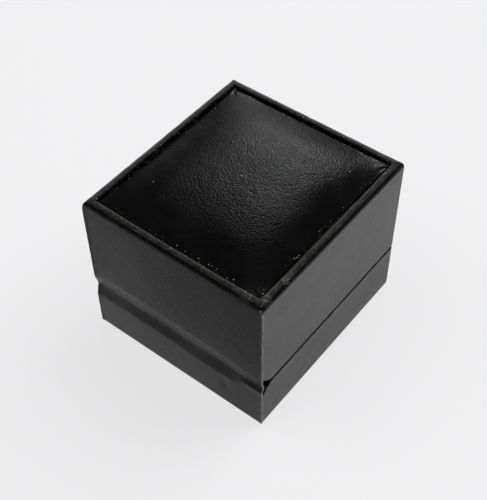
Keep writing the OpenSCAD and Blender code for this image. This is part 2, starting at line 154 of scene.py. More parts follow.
class Signal:
    """A node socket in a material. Arithmetic on it adds Math nodes."""

    def __init__(self, graph: "Graph", socket: bpy.types.NodeSocket) -> None:
        """Wraps one output socket of a graph."""
        self.graph = graph
        self.socket = socket

    def _math(self, operation: str, *values: Value, clamp: bool = False) -> "Signal":
        """Adds one Math node.

        Args:
            operation: The node's operation.
            values: Its inputs.
            clamp: Whether the result is held between 0 and 1.

        Returns:
            The result.
        """
        settings = {"operation": operation, "use_clamp": clamp}
        return self.graph.node("ShaderNodeMath", settings, dict(enumerate(values))).out()

    def __add__(self, other: Value) -> "Signal":
        """self + other."""
        return self._math("ADD", self, other)

    def __radd__(self, other: Value) -> "Signal":
        """other + self."""
        return self._math("ADD", other, self)

    def __sub__(self, other: Value) -> "Signal":
        """self - other."""
        return self._math("SUBTRACT", self, other)

    def __rsub__(self, other: Value) -> "Signal":
        """other - self."""
        return self._math("SUBTRACT", other, self)

    def __mul__(self, other: Value) -> "Signal":
        """self * other."""
        return self._math("MULTIPLY", self, other)

    def __rmul__(self, other: Value) -> "Signal":
        """other * self."""
        return self._math("MULTIPLY", other, self)

    def __truediv__(self, other: Value) -> "Signal":
        """self / other."""
        return self._math("DIVIDE", self, other)

    def __rtruediv__(self, other: Value) -> "Signal":
        """other / self."""
        return self._math("DIVIDE", other, self)

    def __pow__(self, other: Value) -> "Signal":
        """self to the power of other."""
        return self._math("POWER", self, other)

    def sine(self) -> "Signal":
        """Sine of self."""
        return self._math("SINE", self)

    def size(self) -> "Signal":
        """Absolute value of self."""
        return self._math("ABSOLUTE", self)

    def least(self, other: Value) -> "Signal":
        """The smaller of self and other."""
        return self._math("MINIMUM", self, other)

    def most(self, other: Value) -> "Signal":
        """The larger of self and other."""
        return self._math("MAXIMUM", self, other)

    def degrees_up(self) -> "Signal":
        """Elevation in degrees, where self is the sine of it."""
        return self._math("ARCSINE", self) * (180 / math.pi)

    def degrees_round(self, other: Value) -> "Signal":
        """Angle in degrees of the point with self across and other along."""
        return self._math("ARCTAN2", self, other) * (180 / math.pi)

    def bell(self, middle: float, width: float) -> "Signal":
        """Bell curve of self.

        Args:
            middle: Where it is 1.
            width: How far from there it has fallen to 0.37.

        Returns:
            The curve.
        """
        away = (self - middle) / width
        return self._math("EXPONENT", away * away * -1)

    def held(self) -> "Signal":
        """Self held between 0 and 1."""
        return self._math("ADD", self, 0.0, clamp=True)

    def step(self, low: float, high: float) -> "Signal":
        """Smooth step of self, from 0 at low to 1 at high.

        Args:
            low: Where it starts to rise.
            high: Where it has risen.

        Returns:
            The step.
        """
        settings = {"interpolation_type": "SMOOTHSTEP", "clamp": True}
        inputs = {"Value": self, "From Min": low, "From Max": high, "To Min": 0.0, "To Max": 1.0}
        return self.graph.node("ShaderNodeMapRange", settings, inputs).out("Result")


class Placed:
    """A node that stands in a graph."""

    def __init__(self, graph: "Graph", node: bpy.types.Node) -> None:
        """Wraps a node of a graph."""
        self.graph = graph
        self.node = node

    def out(self, key: "str | int" = 0) -> Signal:
        """One of the node's outputs.

        Args:
            key: The output's name or number.

        Returns:
            The output.
        """
        return Signal(self.graph, self.node.outputs[key])


class Graph:
    """A material's or world's node tree, with one method that adds any node."""

    def __init__(self, tree: bpy.types.NodeTree) -> None:
        """Empties the tree."""
        self.tree = tree
        tree.nodes.clear()

    def node(self, kind: str, settings: "dict | None" = None, inputs: "dict | None" = None) -> Placed:
        """Adds a node.

        Args:
            kind: The node's type.
            settings: Its properties, set before its inputs.
            inputs: Values or signals by the input's name or number.

        Returns:
            The node.
        """
        made = self.tree.nodes.new(kind)
        for key, value in (settings or {}).items():
            setattr(made, key, value)
        for key, value in (inputs or {}).items():
            socket = made.inputs[key]
            if isinstance(value, Signal):
                self.tree.links.new(value.socket, socket)
            else:
                socket.default_value = value
        return Placed(self, made)

    def blend_colour(self, share: Value, first: "Colour | Signal", second: "Colour | Signal") -> Signal:
        """Mixes two colours.

        Args:
            share: 0 for the first, 1 for the second.
            first: Colour or signal.
            second: Colour or signal.

        Returns:
            The mixed colour.
        """
        first, second = (end if isinstance(end, Signal) else (*end, 1.0) for end in (first, second))
        return self.node("ShaderNodeMix", {"data_type": "RGBA"}, {0: share, 6: first, 7: second}).out(2)

    def place_mm(self, stretch: Sequence[float] = (1.0, 1.0, 1.0)) -> Signal:
        """Object coordinates in millimetres.

        Args:
            stretch: Factor along each axis.

        Returns:
            The coordinates.
        """
        raw = self.node("ShaderNodeTexCoord").out("Object")
        factor = tuple(f / MM for f in stretch)
        return self.node("ShaderNodeVectorMath", {"operation": "MULTIPLY"}, {0: raw, 1: factor}).out()

    def axes(self, vector: Signal) -> tuple[Signal, Signal, Signal]:
        """The three numbers of a vector."""
        split = self.node("ShaderNodeSeparateXYZ", None, {0: vector})
        return split.out(0), split.out(1), split.out(2)

    def clouds(self, vector: Signal, size: float, detail: float = 2.0, seed: float = 0.0) -> Signal:
        """Soft noise, about 0 to 1.

        Args:
            vector: Where it is read.
            size: Size of its patches, in the vector's units.
            detail: Finer octaves on top.
            seed: Shifts it, so that two noises differ.

        Returns:
            The noise.
        """
        inputs = {"Vector": vector, "W": seed, "Scale": 1.0 / size, "Detail": detail}
        return self.node("ShaderNodeTexNoise", {"noise_dimensions": "4D"}, inputs).out(0)

    def cells(self, vector: Signal, size: float, feature: str = "F1") -> Placed:
        """Voronoi cells of about one size.

        Args:
            vector: Where they are read.
            size: Size of a cell, in the vector's units.
            feature: What is measured.

        Returns:
            The node.
        """
        inputs = {"Vector": vector, "Scale": 1.0 / size}
        return self.node("ShaderNodeTexVoronoi", {"feature": feature}, inputs)

    def relief(self, height: Signal, depth_mm: float) -> Signal:
        """Bump from a height.

        Args:
            height: The height, 0 to 1.
            depth_mm: What a height of 1 stands for.

        Returns:
            The normal.
        """
        inputs = {"Height": height, "Distance": depth_mm * MM, "Strength": 1.0}
        return self.node("ShaderNodeBump", None, inputs).out()

    def surface(self, **inputs: object) -> None:
        """Ends the material in a Principled shader.

        Args:
            inputs: Its inputs, with underscores for spaces.
        """
        named = {key.replace("_", " "): value for key, value in inputs.items()}
        shader = self.node("ShaderNodeBsdfPrincipled", None, named)
        self.node("ShaderNodeOutputMaterial", None, {"Surface": shader.out()})


def new_material(name: str) -> tuple[bpy.types.Material, Graph]:
    """An empty material with its graph.

    Args:
        name: The material's name.

    Returns:
        The material and its graph.
    """
    material = bpy.data.materials.new(name)
    material.use_nodes = True
    return material, Graph(material.node_tree)


# ---------------------------------------------------------------- finishes


@dataclass(frozen=True)
class Recipe:
    """A finish that can be made into a material."""

    name: str

    def build(self) -> bpy.types.Material:
        """Makes the material.

        Returns:
            The material.
        """
        material, graph = new_material(self.name)
        self.mix(graph)
        return material

    def mix(self, graph: Graph) -> None:
        """Adds the finish's nodes to the material's graph."""
        raise NotImplementedError


@dataclass(frozen=True)
class RubbedLineAndSheen:
    """A paler line at one height: rubbed wear, and a painted highlight where the leatherette catches light
    along an edge or crease.
    """

    height: float
    width: float
    share: float


@dataclass(frozen=True)
class Scuff:
    """A pale scuff round one spot."""

    spot: tuple[float, float, float]
    reach: float
    share: float


@dataclass(frozen=True)
class Leatherette(Recipe):
    """Near-black coated leatherette: pebble grain, worn and dusty along the rim, specks of dust."""

    colour: Colour = (0.0024, 0.0023, 0.0025)
    faded: Colour = (0.0068, 0.0065, 0.0066)
    worn: Colour = (0.058, 0.055, 0.050)
    roughness: float = 0.24
    roughness_range: float = 0.05
    grain: float = 0.78
    grain_depth: float = 0.10
    drawn_flat: float = 0.0
    swell: float = 0.024
    swell_size: float = 6.0
    patch_size: float = 9.0
    speckle_size: float = 0.42
    dust: float = 0.16
    dust_spacing: float = 2.3
    rim_dust: float = 0.50
    rim_dust_spacing: float = 0.95
    scuffed: Colour = (0.55, 0.54, 0.51)
    # colour of the paler lines: rubbed wear and painted highlight
    rubbed_and_sheen_tone: Colour = (0.11, 0.106, 0.10)
    rubbed_and_sheen: tuple[RubbedLineAndSheen, ...] = ()
    scuffs: tuple[Scuff, ...] = ()

    def mix(self, graph: Graph) -> None:
        """Adds the leatherette's nodes.

        Args:
            graph: The material's graph.
        """
        place = graph.place_mm()
        x, y, z = graph.axes(place)
        inset = (SIZES.half_w - x.size()).least(SIZES.half_d - y.size())
        pebbles = 1 - graph.cells(place, self.grain).out("Distance")
        coarse = graph.clouds(place, self.grain * 1.4, 2.0, 7.0)
        fine = graph.clouds(place, self.grain * 0.4, 2.0, 1.0)
        swell = graph.clouds(place, self.swell_size, 1.0, 8.0)
        speckle = graph.clouds(place, self.speckle_size, 3.0, 9.0).step(0.42, 0.66)
        patches = graph.clouds(place, self.patch_size, 3.0, 5.0).step(0.35, 0.75)
        grain_depth = self.grain_depth * (1 - (1 - inset.step(6.0, 20.0)) * self.drawn_flat)
        height = (pebbles + coarse * 0.4 + fine * 0.4) * grain_depth + swell * self.swell
        rim, near_rim = self._rim(inset, z)
        rim_specks = self._specks(graph, place, self.rim_dust_spacing, self.rim_dust, 40.0)
        specks = self._specks(graph, place, self.dust_spacing, self.dust, 0.0).most(rim_specks * near_rim)
        colour = graph.blend_colour(patches * 0.45 + fine * 0.3, self.colour, self.faded)
        wear = (rim * (coarse * 0.5 + speckle * 0.7 - 0.1)).held()
        colour = graph.blend_colour(wear, colour, self.worn)
        # paler lines at set heights: rubbed wear and painted highlight
        for line in self.rubbed_and_sheen:
            paler_and_sheen = z.bell(line.height, line.width) * (speckle * 0.4 + coarse * 0.4 + 0.4)
            colour = graph.blend_colour((paler_and_sheen * line.share).held(), colour, self.rubbed_and_sheen_tone)
        for scuff in self.scuffs:
            ends = {0: place, 1: scuff.spot}
            gap = graph.node("ShaderNodeVectorMath", {"operation": "DISTANCE"}, ends).out("Value")
            near = 1 - gap.step(scuff.reach * 0.1, scuff.reach)
            mark = near * speckle * (coarse * 1.6 - 0.2) * scuff.share
            colour = graph.blend_colour(mark.held(), colour, self.scuffed)
        colour = graph.blend_colour(specks, colour, self.scuffed)
        rough = self.roughness + (patches - 0.5) * self.roughness_range + fine * 0.05 + rim * 0.05
        graph.surface(
            Base_Color=colour,
            Roughness=rough + specks * 0.4,
            Normal=graph.relief(height, 1.0),
            IOR=1.5,
        )

    @staticmethod
    def _rim(inset: Signal, z: Signal) -> tuple[Signal, Signal]:
        """Where the lid's rim is.

        Args:
            inset: Distance inside the outline.
            z: Height.

        Returns:
            The rim's worn top, and the strip along its inner edge where dust gathers.
        """
        top = z.step(SIZES.lid_top - 0.6, SIZES.lid_top - 0.15)
        rim = top * (1 - inset.step(SIZES.rim_in - 0.3, SIZES.rim_in + 0.2))
        near = 1 - (inset - SIZES.rim_in - 0.5).size().step(0.6, 2.0)
        return rim, near * z.step(SIZES.recess_floor, SIZES.lid_top - 2.0)

    @staticmethod
    def _specks(graph: Graph, place: Signal, spacing: float, share: float, seed: float) -> Signal:
        """Sparse pale specks of dust.

        Args:
            graph: The material's graph.
            place: Coordinates in millimetres.
            spacing: Distance of the places where a speck may lie.
            share: How many of them hold one.
            seed: Shifts them.

        Returns:
            How much dust covers a point.
        """
        terms = {0: place, 1: (seed, seed, seed)}
        shifted = graph.node("ShaderNodeVectorMath", {"operation": "ADD"}, terms).out()
        cells = graph.cells(shifted, spacing)
        picked, grown, strength = graph.axes(cells.out("Color"))
        reach = 0.09 + grown * 0.13
        near = 1 - (cells.out("Distance") * spacing / reach).step(0.6, 1.2)
        return near * picked.step(1 - share, 1 - share * 0.7) * (strength * 0.6 + 0.3)


@dataclass(frozen=True)
class CutEdge(Recipe):
    """Raw cut edge of the leatherette: pale backing cloth, inked dark away from the left corner."""

    name: str = "cut_edge"
    fibre: Colour = (0.95, 0.90, 0.80)
    coat: Colour = (0.16, 0.15, 0.135)
    ink: Colour = (0.010, 0.010, 0.010)
    ink_from: float = 0.6
    ink_full: float = 12.0

    def mix(self, graph: Graph) -> None:
        """Adds the cut edge's nodes.

        Args:
            graph: The material's graph.
        """
        place = graph.place_mm()
        patch = graph.clouds(place, 0.9, 3.0, 2.0)
        thread = graph.clouds(graph.place_mm((6.0, 6.0, 1.2)), 1.0, 2.0, 4.0)
        cloth = graph.blend_colour((patch * 0.6 + thread * 0.7 - 0.15).held(), self.coat, self.fibre)
        across = graph.axes(place)[0]
        band = across.step(self.ink_from - SIZES.half_w, self.ink_full - SIZES.half_w)
        inked = band * (0.97 - patch * 0.08)
        graph.surface(
            Base_Color=graph.blend_colour(inked, cloth, self.ink),
            Roughness=0.86 - patch * 0.1,
            Normal=graph.relief(thread, 0.08),
            IOR=1.45,
        )


@dataclass(frozen=True)
class Velvet(Recipe):
    """Short black velvet pile."""

    name: str = "velvet"
    deep: Colour = (0.0065, 0.0065, 0.0075)
    brushed: Colour = (0.022, 0.022, 0.025)

    def mix(self, graph: Graph) -> None:
        """Adds the velvet's nodes.

        Args:
            graph: The material's graph.
        """
        lay = graph.clouds(graph.place_mm((1.0, 0.55, 1.0)), 7.0, 3.0, 6.0).step(0.35, 0.7)
        pile = graph.clouds(graph.place_mm(), 0.16, 2.0, 1.0)
        graph.surface(
            Base_Color=graph.blend_colour(lay * 0.6 + pile * 0.4, self.deep, self.brushed),
            Roughness=0.95 - lay * 0.1,
            Normal=graph.relief(pile, 0.09),
            Sheen_Weight=0.7,
            Sheen_Roughness=0.35,
            Sheen_Tint=(0.5, 0.5, 0.55, 1.0),
            IOR=1.3,
        )


@dataclass(frozen=True)
class PressedBoard(Recipe):
    """Raw grey-brown pressed board, or paler card."""

    colour: Colour = (0.30, 0.245, 0.185)
    fibre: Colour = (0.43, 0.37, 0.29)

    def mix(self, graph: Graph) -> None:
        """Adds the board's nodes.

        Args:
            graph: The material's graph.
        """
        layers = graph.clouds(graph.place_mm((0.5, 0.5, 3.0)), 1.2, 3.0, 1.0)
        flecks = graph.clouds(graph.place_mm(), 0.35, 2.0, 2.0).step(0.62, 0.75)
        colour = graph.blend_colour(layers, self.colour, self.fibre)
        dark = tuple(0.4 * c for c in self.colour)
        graph.surface(
            Base_Color=graph.blend_colour(flecks * 0.5, colour, dark),
            Roughness=0.82 + layers * 0.1,
            Normal=graph.relief(layers, 0.06),
            IOR=1.4,
        )


@dataclass(frozen=True)
class Foam(Recipe):
    """Soft open-celled foam, its pores painted darker as shade."""

    name: str = "foam"
    pore_shade: Colour = (0.42, 0.38, 0.29)
    aged: Colour = (0.66, 0.62, 0.50)
    fresh: Colour = (0.74, 0.71, 0.62)

    def mix(self, graph: Graph) -> None:
        """Adds the foam's nodes.

        Args:
            graph: The material's graph.
        """
        pores_and_shade = graph.cells(graph.place_mm(), 0.45, "DISTANCE_TO_EDGE").out("Distance").step(0.0, 0.2)
        tint = graph.clouds(graph.place_mm(), 6.0, 2.0, 1.0)
        colour = graph.blend_colour(tint, self.aged, self.fresh)
        graph.surface(
            # painted shade in the pores; the same mask sets roughness and bump
            Base_Color=graph.blend_colour(pores_and_shade, self.pore_shade, colour),
            Roughness=0.92 - pores_and_shade * 0.05,
            Normal=graph.relief(pores_and_shade, 0.12),
            IOR=1.4,
        )


@dataclass(frozen=True)
class SheetSteel(Recipe):
    """Plain rolled steel sheet, lightly scratched along its length."""

    name: str = "steel"
    bright: Colour = (0.58, 0.58, 0.59)
    dull: Colour = (0.40, 0.39, 0.37)

    def mix(self, graph: Graph) -> None:
        """Adds the steel's nodes.

        Args:
            graph: The material's graph.
        """
        streaks = graph.clouds(graph.place_mm((0.08, 4.0, 4.0)), 1.0, 3.0, 1.0)
        spots = graph.clouds(graph.place_mm(), 3.0, 3.0, 2.0).step(0.5, 0.8)
        graph.surface(
            Base_Color=graph.blend_colour(spots * 0.5, self.bright, self.dull),
            Metallic=1.0,
            Roughness=0.24 + streaks * 0.16 + spots * 0.12,
            Normal=graph.relief(streaks, 0.012),
        )


class Finish(Enum):
    """The finishes of the box."""

    LID_LEATHER = Leatherette(
        "lid_leatherette",
        # paler line below the base's top edge: rubbed wear and painted highlight
        rubbed_and_sheen=(RubbedLineAndSheen(SIZES.base_top - 2.0, 0.6, 0.8),),
        scuffs=(Scuff((-33.2, 34.0, 60.6), 2.6, 0.45), Scuff((-33.4, 24.0, 60.6), 3.5, 0.35)),
    )
    PAD_LEATHER = Leatherette(
        "pad_leatherette", roughness=0.15, grain=0.70, grain_depth=0.058, drawn_flat=0.6
    )
    BACK_LEATHER = Leatherette(
        "back_leatherette",
        roughness=0.25,
        # paler line along the crease's light band: painted highlight, with rubbed wear
        rubbed_and_sheen=(RubbedLineAndSheen(SIZES.fold_high + 0.2, 1.1, 0.5),),
        scuffs=(Scuff((-34.5, 37.6, 59.0), 1.0, 3.0), Scuff((-28.5, 36.4, 60.5), 3.0, 0.25)),
    )
    CUT_EDGE = CutEdge()
    VELVET = Velvet()
    BOARD = PressedBoard("pressed_board")
    CARD = PressedBoard("card", (0.50, 0.47, 0.41), (0.60, 0.57, 0.51))
    FOAM = Foam()
    STEEL = SheetSteel()

    def material(self) -> bpy.types.Material:
        """The finish's material, built once."""
        return bpy.data.materials.get(self.value.name) or self.value.build()


# ---------------------------------------------------------------- meshes


def rough_field(points: np.ndarray, size: float, seed: float) -> np.ndarray:
    """Smooth noise at points, between about -1 and 1.

    Args:
        points: Points in millimetres, last axis of three.
        size: Size of its lumps.
        seed: Shifts it, so that two fields differ.

    Returns:
        One value for each point.
    """
    flat = points.reshape(-1, 3) / size + (seed * 17.3, seed * 5.1, seed * 9.7)
    values = [noise.noise(Vector(p), noise_basis="PERLIN_ORIGINAL") for p in flat]
    return np.array(values).reshape(points.shape[:-1])


def smooth_step(x: np.ndarray, low: float, high: float) -> np.ndarray:
    """Smooth step from 0 at low to 1 at high.

    Args:
        x: Values.
        low: Where it starts.
        high: Where it ends.

    Returns:
        The step at each value.
    """
    t = np.clip((x - low) / (high - low), 0.0, 1.0)
    return t * t * (3 - 2 * t)


def bell(x: np.ndarray, middle: float, width: float) -> np.ndarray:
    """Bell curve of x, 1 at the middle and 0.37 at a width from there."""
    return np.exp(-(((x - middle) / width) ** 2))


def spread(low: float, high: float, step: float) -> np.ndarray:
    """Evenly spaced places from low to high, both included, about one step apart."""
    return np.linspace(low, high, max(int(round(abs(high - low) / step)), 1) + 1)


def make_piece(
    name: str,
    points: np.ndarray,
    faces: Iterable[Sequence[int]],
    finishes: Sequence[Finish],
    finish_of_face: "Sequence[int] | None" = None,
    crease_deg: float = 50.0,
) -> bpy.types.Object:
    """Makes a mesh object whose place is in its mesh.

    Args:
        name: The object's name.
        points: Vertices in millimetres.
        faces: Vertex numbers of each face.
        finishes: Its finishes.
        finish_of_face: Which finish each face has; the first if left out.
        crease_deg: Edges sharper than this aren't shaded smooth.

    Returns:
        The object.
    """
    mesh = bpy.data.meshes.new(name)
    mesh.from_pydata((points * MM).tolist(), [], [list(f) for f in faces])
    for finish in finishes:
        mesh.materials.append(finish.material())
    if finish_of_face is not None:
        mesh.polygons.foreach_set("material_index", np.asarray(finish_of_face, dtype=np.int32))
    work = bmesh.new()
    work.from_mesh(mesh)
    bmesh.ops.recalc_face_normals(work, faces=work.faces)
    work.to_mesh(mesh)
    work.free()
    mesh.polygons.foreach_set("use_smooth", np.ones(len(mesh.polygons), dtype=bool))
    mesh.set_sharp_from_angle(angle=math.radians(crease_deg))
    made = bpy.data.objects.new(name, mesh)
    bpy.context.scene.collection.objects.link(made)
    LOG.info("%s: %d faces", name, len(mesh.polygons))
    return made


class Side(Enum):
    """The four edges of a covering's grid."""

    FIRST_ROW = 0
    LAST_ROW = 1
    FIRST_COLUMN = 2
    LAST_COLUMN = 3


def grid_quads(index: np.ndarray) -> np.ndarray:
    """Vertex numbers of the faces between the points of a grid."""
    corners = (index[:-1, :-1], index[1:, :-1], index[1:, 1:], index[:-1, 1:])
    return np.stack(corners, -1).reshape(-1, 4)


@dataclass
class Covering:
    """A thin covering: a grid of points on its face and one on its back, closed round its edges."""

    name: str
    face: np.ndarray
    back: np.ndarray
    finish: Finish
    raw: frozenset[Side] = frozenset()

    def build(self) -> bpy.types.Object:
        """Makes the piece.

        Returns:
            The object.
        """
        rows, columns = self.face.shape[:2]
        count = rows * columns
        index = np.arange(count).reshape(rows, columns)
        quads = grid_quads(index)
        faces = [quads, quads[:, ::-1] + count]
        slots = [np.zeros(2 * len(quads), dtype=np.int32)]
        edges = {
            Side.FIRST_COLUMN: index[:, 0],
            Side.LAST_COLUMN: index[:, -1],
            Side.FIRST_ROW: index[0],
            Side.LAST_ROW: index[-1],
        }
        for side, line in edges.items():
            wall = np.stack([line[:-1], line[1:], line[1:] + count, line[:-1] + count], -1)
            faces.append(wall)
            slots.append(np.full(len(wall), int(side in self.raw), dtype=np.int32))
        points = np.concatenate([self.face.reshape(-1, 3), self.back.reshape(-1, 3)])
        finishes = [self.finish, Finish.CUT_EDGE] if self.raw else [self.finish]
        return make_piece(self.name, points, np.concatenate(faces).tolist(), finishes, np.concatenate(slots))


class Profile:
    """Section of a covering, drawn in (inset, height) with the board on its left."""

    def __init__(self, inset: float, height: float) -> None:
        """Starts the section at a point."""
        self.points: list[tuple[float, float]] = [(inset, height)]

    def line(self, inset: float, height: float, step: float = 1.0) -> "Profile":
        """Adds a straight stretch.

        Args:
            inset: Inset of its end.
            height: Height of its end.
            step: Spacing of the points on it.

        Returns:
            The profile.
        """
        x, z = self.points[-1]
        count = max(int(round(math.hypot(inset - x, height - z) / step)), 1)
        for k in range(1, count + 1):
            self.points.append((x + (inset - x) * k / count, z + (height - z) * k / count))
        return self

    def arc(
        self, inset: float, height: float, radius: float, start: float, end: float, steps: int
    ) -> "Profile":
        """Adds an arc, as angles from the inward direction towards up, in degrees.

        Args:
            inset: Inset of its centre.
            height: Height of its centre.
            radius: Its radius.
            start: Angle where it starts.
            end: Angle where it ends.
            steps: Number of steps.

        Returns:
            The profile.
        """
        for k in range(1, steps + 1):
            turn = math.radians(start + (end - start) * k / steps)
            self.points.append((inset + radius * math.cos(turn), height + radius * math.sin(turn)))
        return self

    def grid(self) -> np.ndarray:
        """The points as an array."""
        return np.array(self.points)


def left_normals(points: np.ndarray) -> np.ndarray:
    """Unit normals on the left of a polyline.

    Args:
        points: Points along the line, last axis of two.

    Returns:
        A normal for each point.
    """
    tangent = np.gradient(points, axis=-2)
    tangent /= np.maximum(np.linalg.norm(tangent, axis=-1, keepdims=True), 1e-9)
    return np.stack([-tangent[..., 1], tangent[..., 0]], -1)


class Leg(Enum):
    """Stretches of the way round the box, from its back left corner to its back right one."""

    LEFT = 0
    FRONT_LEFT = 1
    FRONT = 2
    FRONT_RIGHT = 3
    RIGHT = 4


@dataclass
class Stations:
    """Places along the way round the sides and the front."""

    leg: np.ndarray
    share: np.ndarray

    @classmethod
    def spaced(cls, sizes: CaseSizes, corner_steps: int = 9) -> "Stations":
        """Stations along every leg, closer near the corners and the back.

        Args:
            sizes: The sizes of the case.
            corner_steps: Steps round each front corner.

        Returns:
            The stations.
        """
        side = cls.eased(2 * sizes.half_d)
        front = cls.eased(2 * sizes.half_w)
        corner = np.linspace(0, 1, corner_steps + 1)[1:-1]
        shares = (side, corner, front, corner, side)
        return cls(
            np.concatenate([np.full(len(share), leg.value) for leg, share in zip(Leg, shares)]),
            np.concatenate(shares),
        )

    @staticmethod
    def eased(length: float, step: float = 0.9, zone: float = 6.0) -> np.ndarray:
        """Shares of a straight length, a step apart, and a quarter of that in a zone at each end."""
        ends = spread(0, zone, step / 4)
        middle = spread(zone, length - zone, step)
        return np.concatenate([ends, middle[1:-1], length - ends[::-1]]) / length


def corner_turn(leg: Leg, share: np.ndarray) -> tuple[int, np.ndarray]:
    """Side of a front corner, -1 or 1, and the angle in plan at each share of the way round it."""
    sign = -1 if leg is Leg.FRONT_LEFT else 1
    return sign, np.pi / 2 * (share if sign < 0 else 1 - share)


def case_points(
    sizes: CaseSizes,
    stations: Stations,
    inset: np.ndarray,
    height: np.ndarray,
    back_end: "np.ndarray | float",
) -> np.ndarray:
    """Points round the sides and the front of the case.

    Args:
        sizes: The sizes of the case.
        stations: Where along the way round.
        inset: Distance inside the outline, for each station and profile point.
        height: Height, for each station and profile point.
        back_end: Where each profile point's line ends at the back.

    Returns:
        The points, by station and profile point.
    """
    radius = np.maximum(sizes.corner_r - inset, sizes.least_r)
    wide = sizes.half_w - inset
    deep = sizes.half_d - inset
    share = np.broadcast_to(stations.share[:, None], inset.shape)
    front_y = -(deep - radius)
    end = np.broadcast_to(back_end, inset.shape)
    x = np.zeros_like(inset)
    y = np.zeros_like(inset)
    for leg in Leg:
        rows = stations.leg == leg.value
        w, d, r, s, e, f = (a[rows] for a in (wide, deep, radius, share, end, front_y))
        if leg is Leg.LEFT:
            x[rows], y[rows] = -w, e + (f - e) * s
        elif leg is Leg.RIGHT:
            x[rows], y[rows] = w, f + (e - f) * s
        elif leg is Leg.FRONT:
            x[rows], y[rows] = (2 * s - 1) * (w - r), -d
        else:
            sign, turn = corner_turn(leg, s)
            x[rows] = sign * (w - r + r * np.cos(turn))
            y[rows] = -(d - r) - r * np.sin(turn)
    return np.stack([x, y, height], -1)


def outward(stations: Stations) -> np.ndarray:
    """Outward direction in plan at each station.

    Args:
        stations: Where along the way round.

    Returns:
        Unit vectors of three numbers.
    """
    out = np.zeros((len(stations.leg), 3))
    for leg in Leg:
        rows = stations.leg == leg.value
        s = stations.share[rows]
        if leg in (Leg.LEFT, Leg.RIGHT):
            out[rows, 0] = -1 if leg is Leg.LEFT else 1
        elif leg is Leg.FRONT:
            out[rows, 1] = -1
        else:
            sign, turn = corner_turn(leg, s)
            out[rows, 0], out[rows, 1] = sign * np.cos(turn), -np.sin(turn)
    return out


def tiled(section: np.ndarray, rows: int) -> tuple[np.ndarray, np.ndarray]:
    """Insets and heights of a section, repeated for a number of rows."""
    return np.tile(section[:, 0], (rows, 1)), np.tile(section[:, 1], (rows, 1))


def face_normals(section: np.ndarray, stations: Stations) -> np.ndarray:
    """Directions in which the face of a swept section looks.

    Args:
        section: Insets and heights.
        stations: Where along the way round.

    Returns:
        A unit vector for each station and profile point.
    """
    across = left_normals(section)
    out = outward(stations)[:, None, :]
    return across[None, :, 0:1] * out - np.array([0.0, 0.0, 1.0]) * across[None, :, 1:2]


def bevel_lift(sizes: CaseSizes, y: np.ndarray) -> np.ndarray:
    """How far the bevel at the back of the joint moves an edge up or down.

    Args:
        sizes: The sizes of the case.
        y: Places along the box.

    Returns:
        The distance at each.
    """
    start = sizes.half_d - sizes.bevel
    lift = sizes.soften * np.logaddexp(0, (y - start) / sizes.soften)
    return lift * smooth_step(y, start - 3.0, start)


# ---------------------------------------------------------------- the lid


@dataclass
class Rim:
    """How the rolled rim of the lid departs from its plain section."""

    sizes: CaseSizes
    bow: float = 0.35
    bow_reach: float = 9.0
    lump: float = 0.09
    wrinkle: float = 0.09
    wrinkle_reach: float = 2.6
    seam: float = 0.20
    seam_width: float = 0.22

    def section(self) -> Profile:
        """The rolled rim's section, up from the recess floor and over to its outer face.

        Returns:
            The section.
        """
        s = self.sizes
        inner = s.rim_in - s.rim_lean
        section = Profile(s.rim_in, s.recess_floor).line(inner, s.lid_top - s.rim_r_in, 0.7)
        section.arc(inner - s.rim_r_in, s.lid_top - s.rim_r_in, s.rim_r_in, 0, 90, 6)
        return section.arc(s.rim_r_out, s.lid_top - s.rim_r_out, s.rim_r_out, 90, 180, 14)

    def corner_gap(self, points: np.ndarray) -> np.ndarray:
        """Distance of points from the nearest mitre line, in plan.

        Args:
            points: Points in millimetres.

        Returns:
            The distances.
        """
        inset_x = self.sizes.half_w - np.abs(points[..., 0])
        inset_y = self.sizes.half_d - np.abs(points[..., 1])
        return np.abs(inset_x - inset_y)

    def bowed_inset(self, inset: np.ndarray, height: np.ndarray, gap: np.ndarray) -> np.ndarray:
        """Moves the rim's inner edge further in near the corners.

        Args:
            inset: Plain insets.
            height: Heights.
            gap: Distance from the nearest mitre.

        Returns:
            The new insets.
        """
        sizes = self.sizes
        near = np.exp(-gap / self.bow_reach)
        upper = smooth_step(height, sizes.recess_floor + 0.5, sizes.lid_top - 1.0)
        inner = smooth_step(inset, 1.3, 2.8) * upper
        return inset + self.bow * near * inner

    def rise(self, points: np.ndarray) -> np.ndarray:
        """How far the rim's face stands out from the plain section.

        Args:
            points: Points on the plain section.

        Returns:
            The distance for each point, along the outward normal.
        """
        gap = self.corner_gap(points)
        top = smooth_step(points[..., 2], self.sizes.lid_top - 2.4, self.sizes.lid_top - 0.5)
        lumps = self.lump * rough_field(points, 4.5, 1.0) + 0.6 * self.lump * rough_field(points, 1.6, 2.0)
        ripple = np.sin(gap * 4.6 + 2.0 * rough_field(points, 3.0, 3.0))
        folds = self.wrinkle * np.exp(-gap / self.wrinkle_reach) * ripple
        seam = -self.seam * bell(gap, 0.0, self.seam_width)
        return top * (lumps + folds + seam)


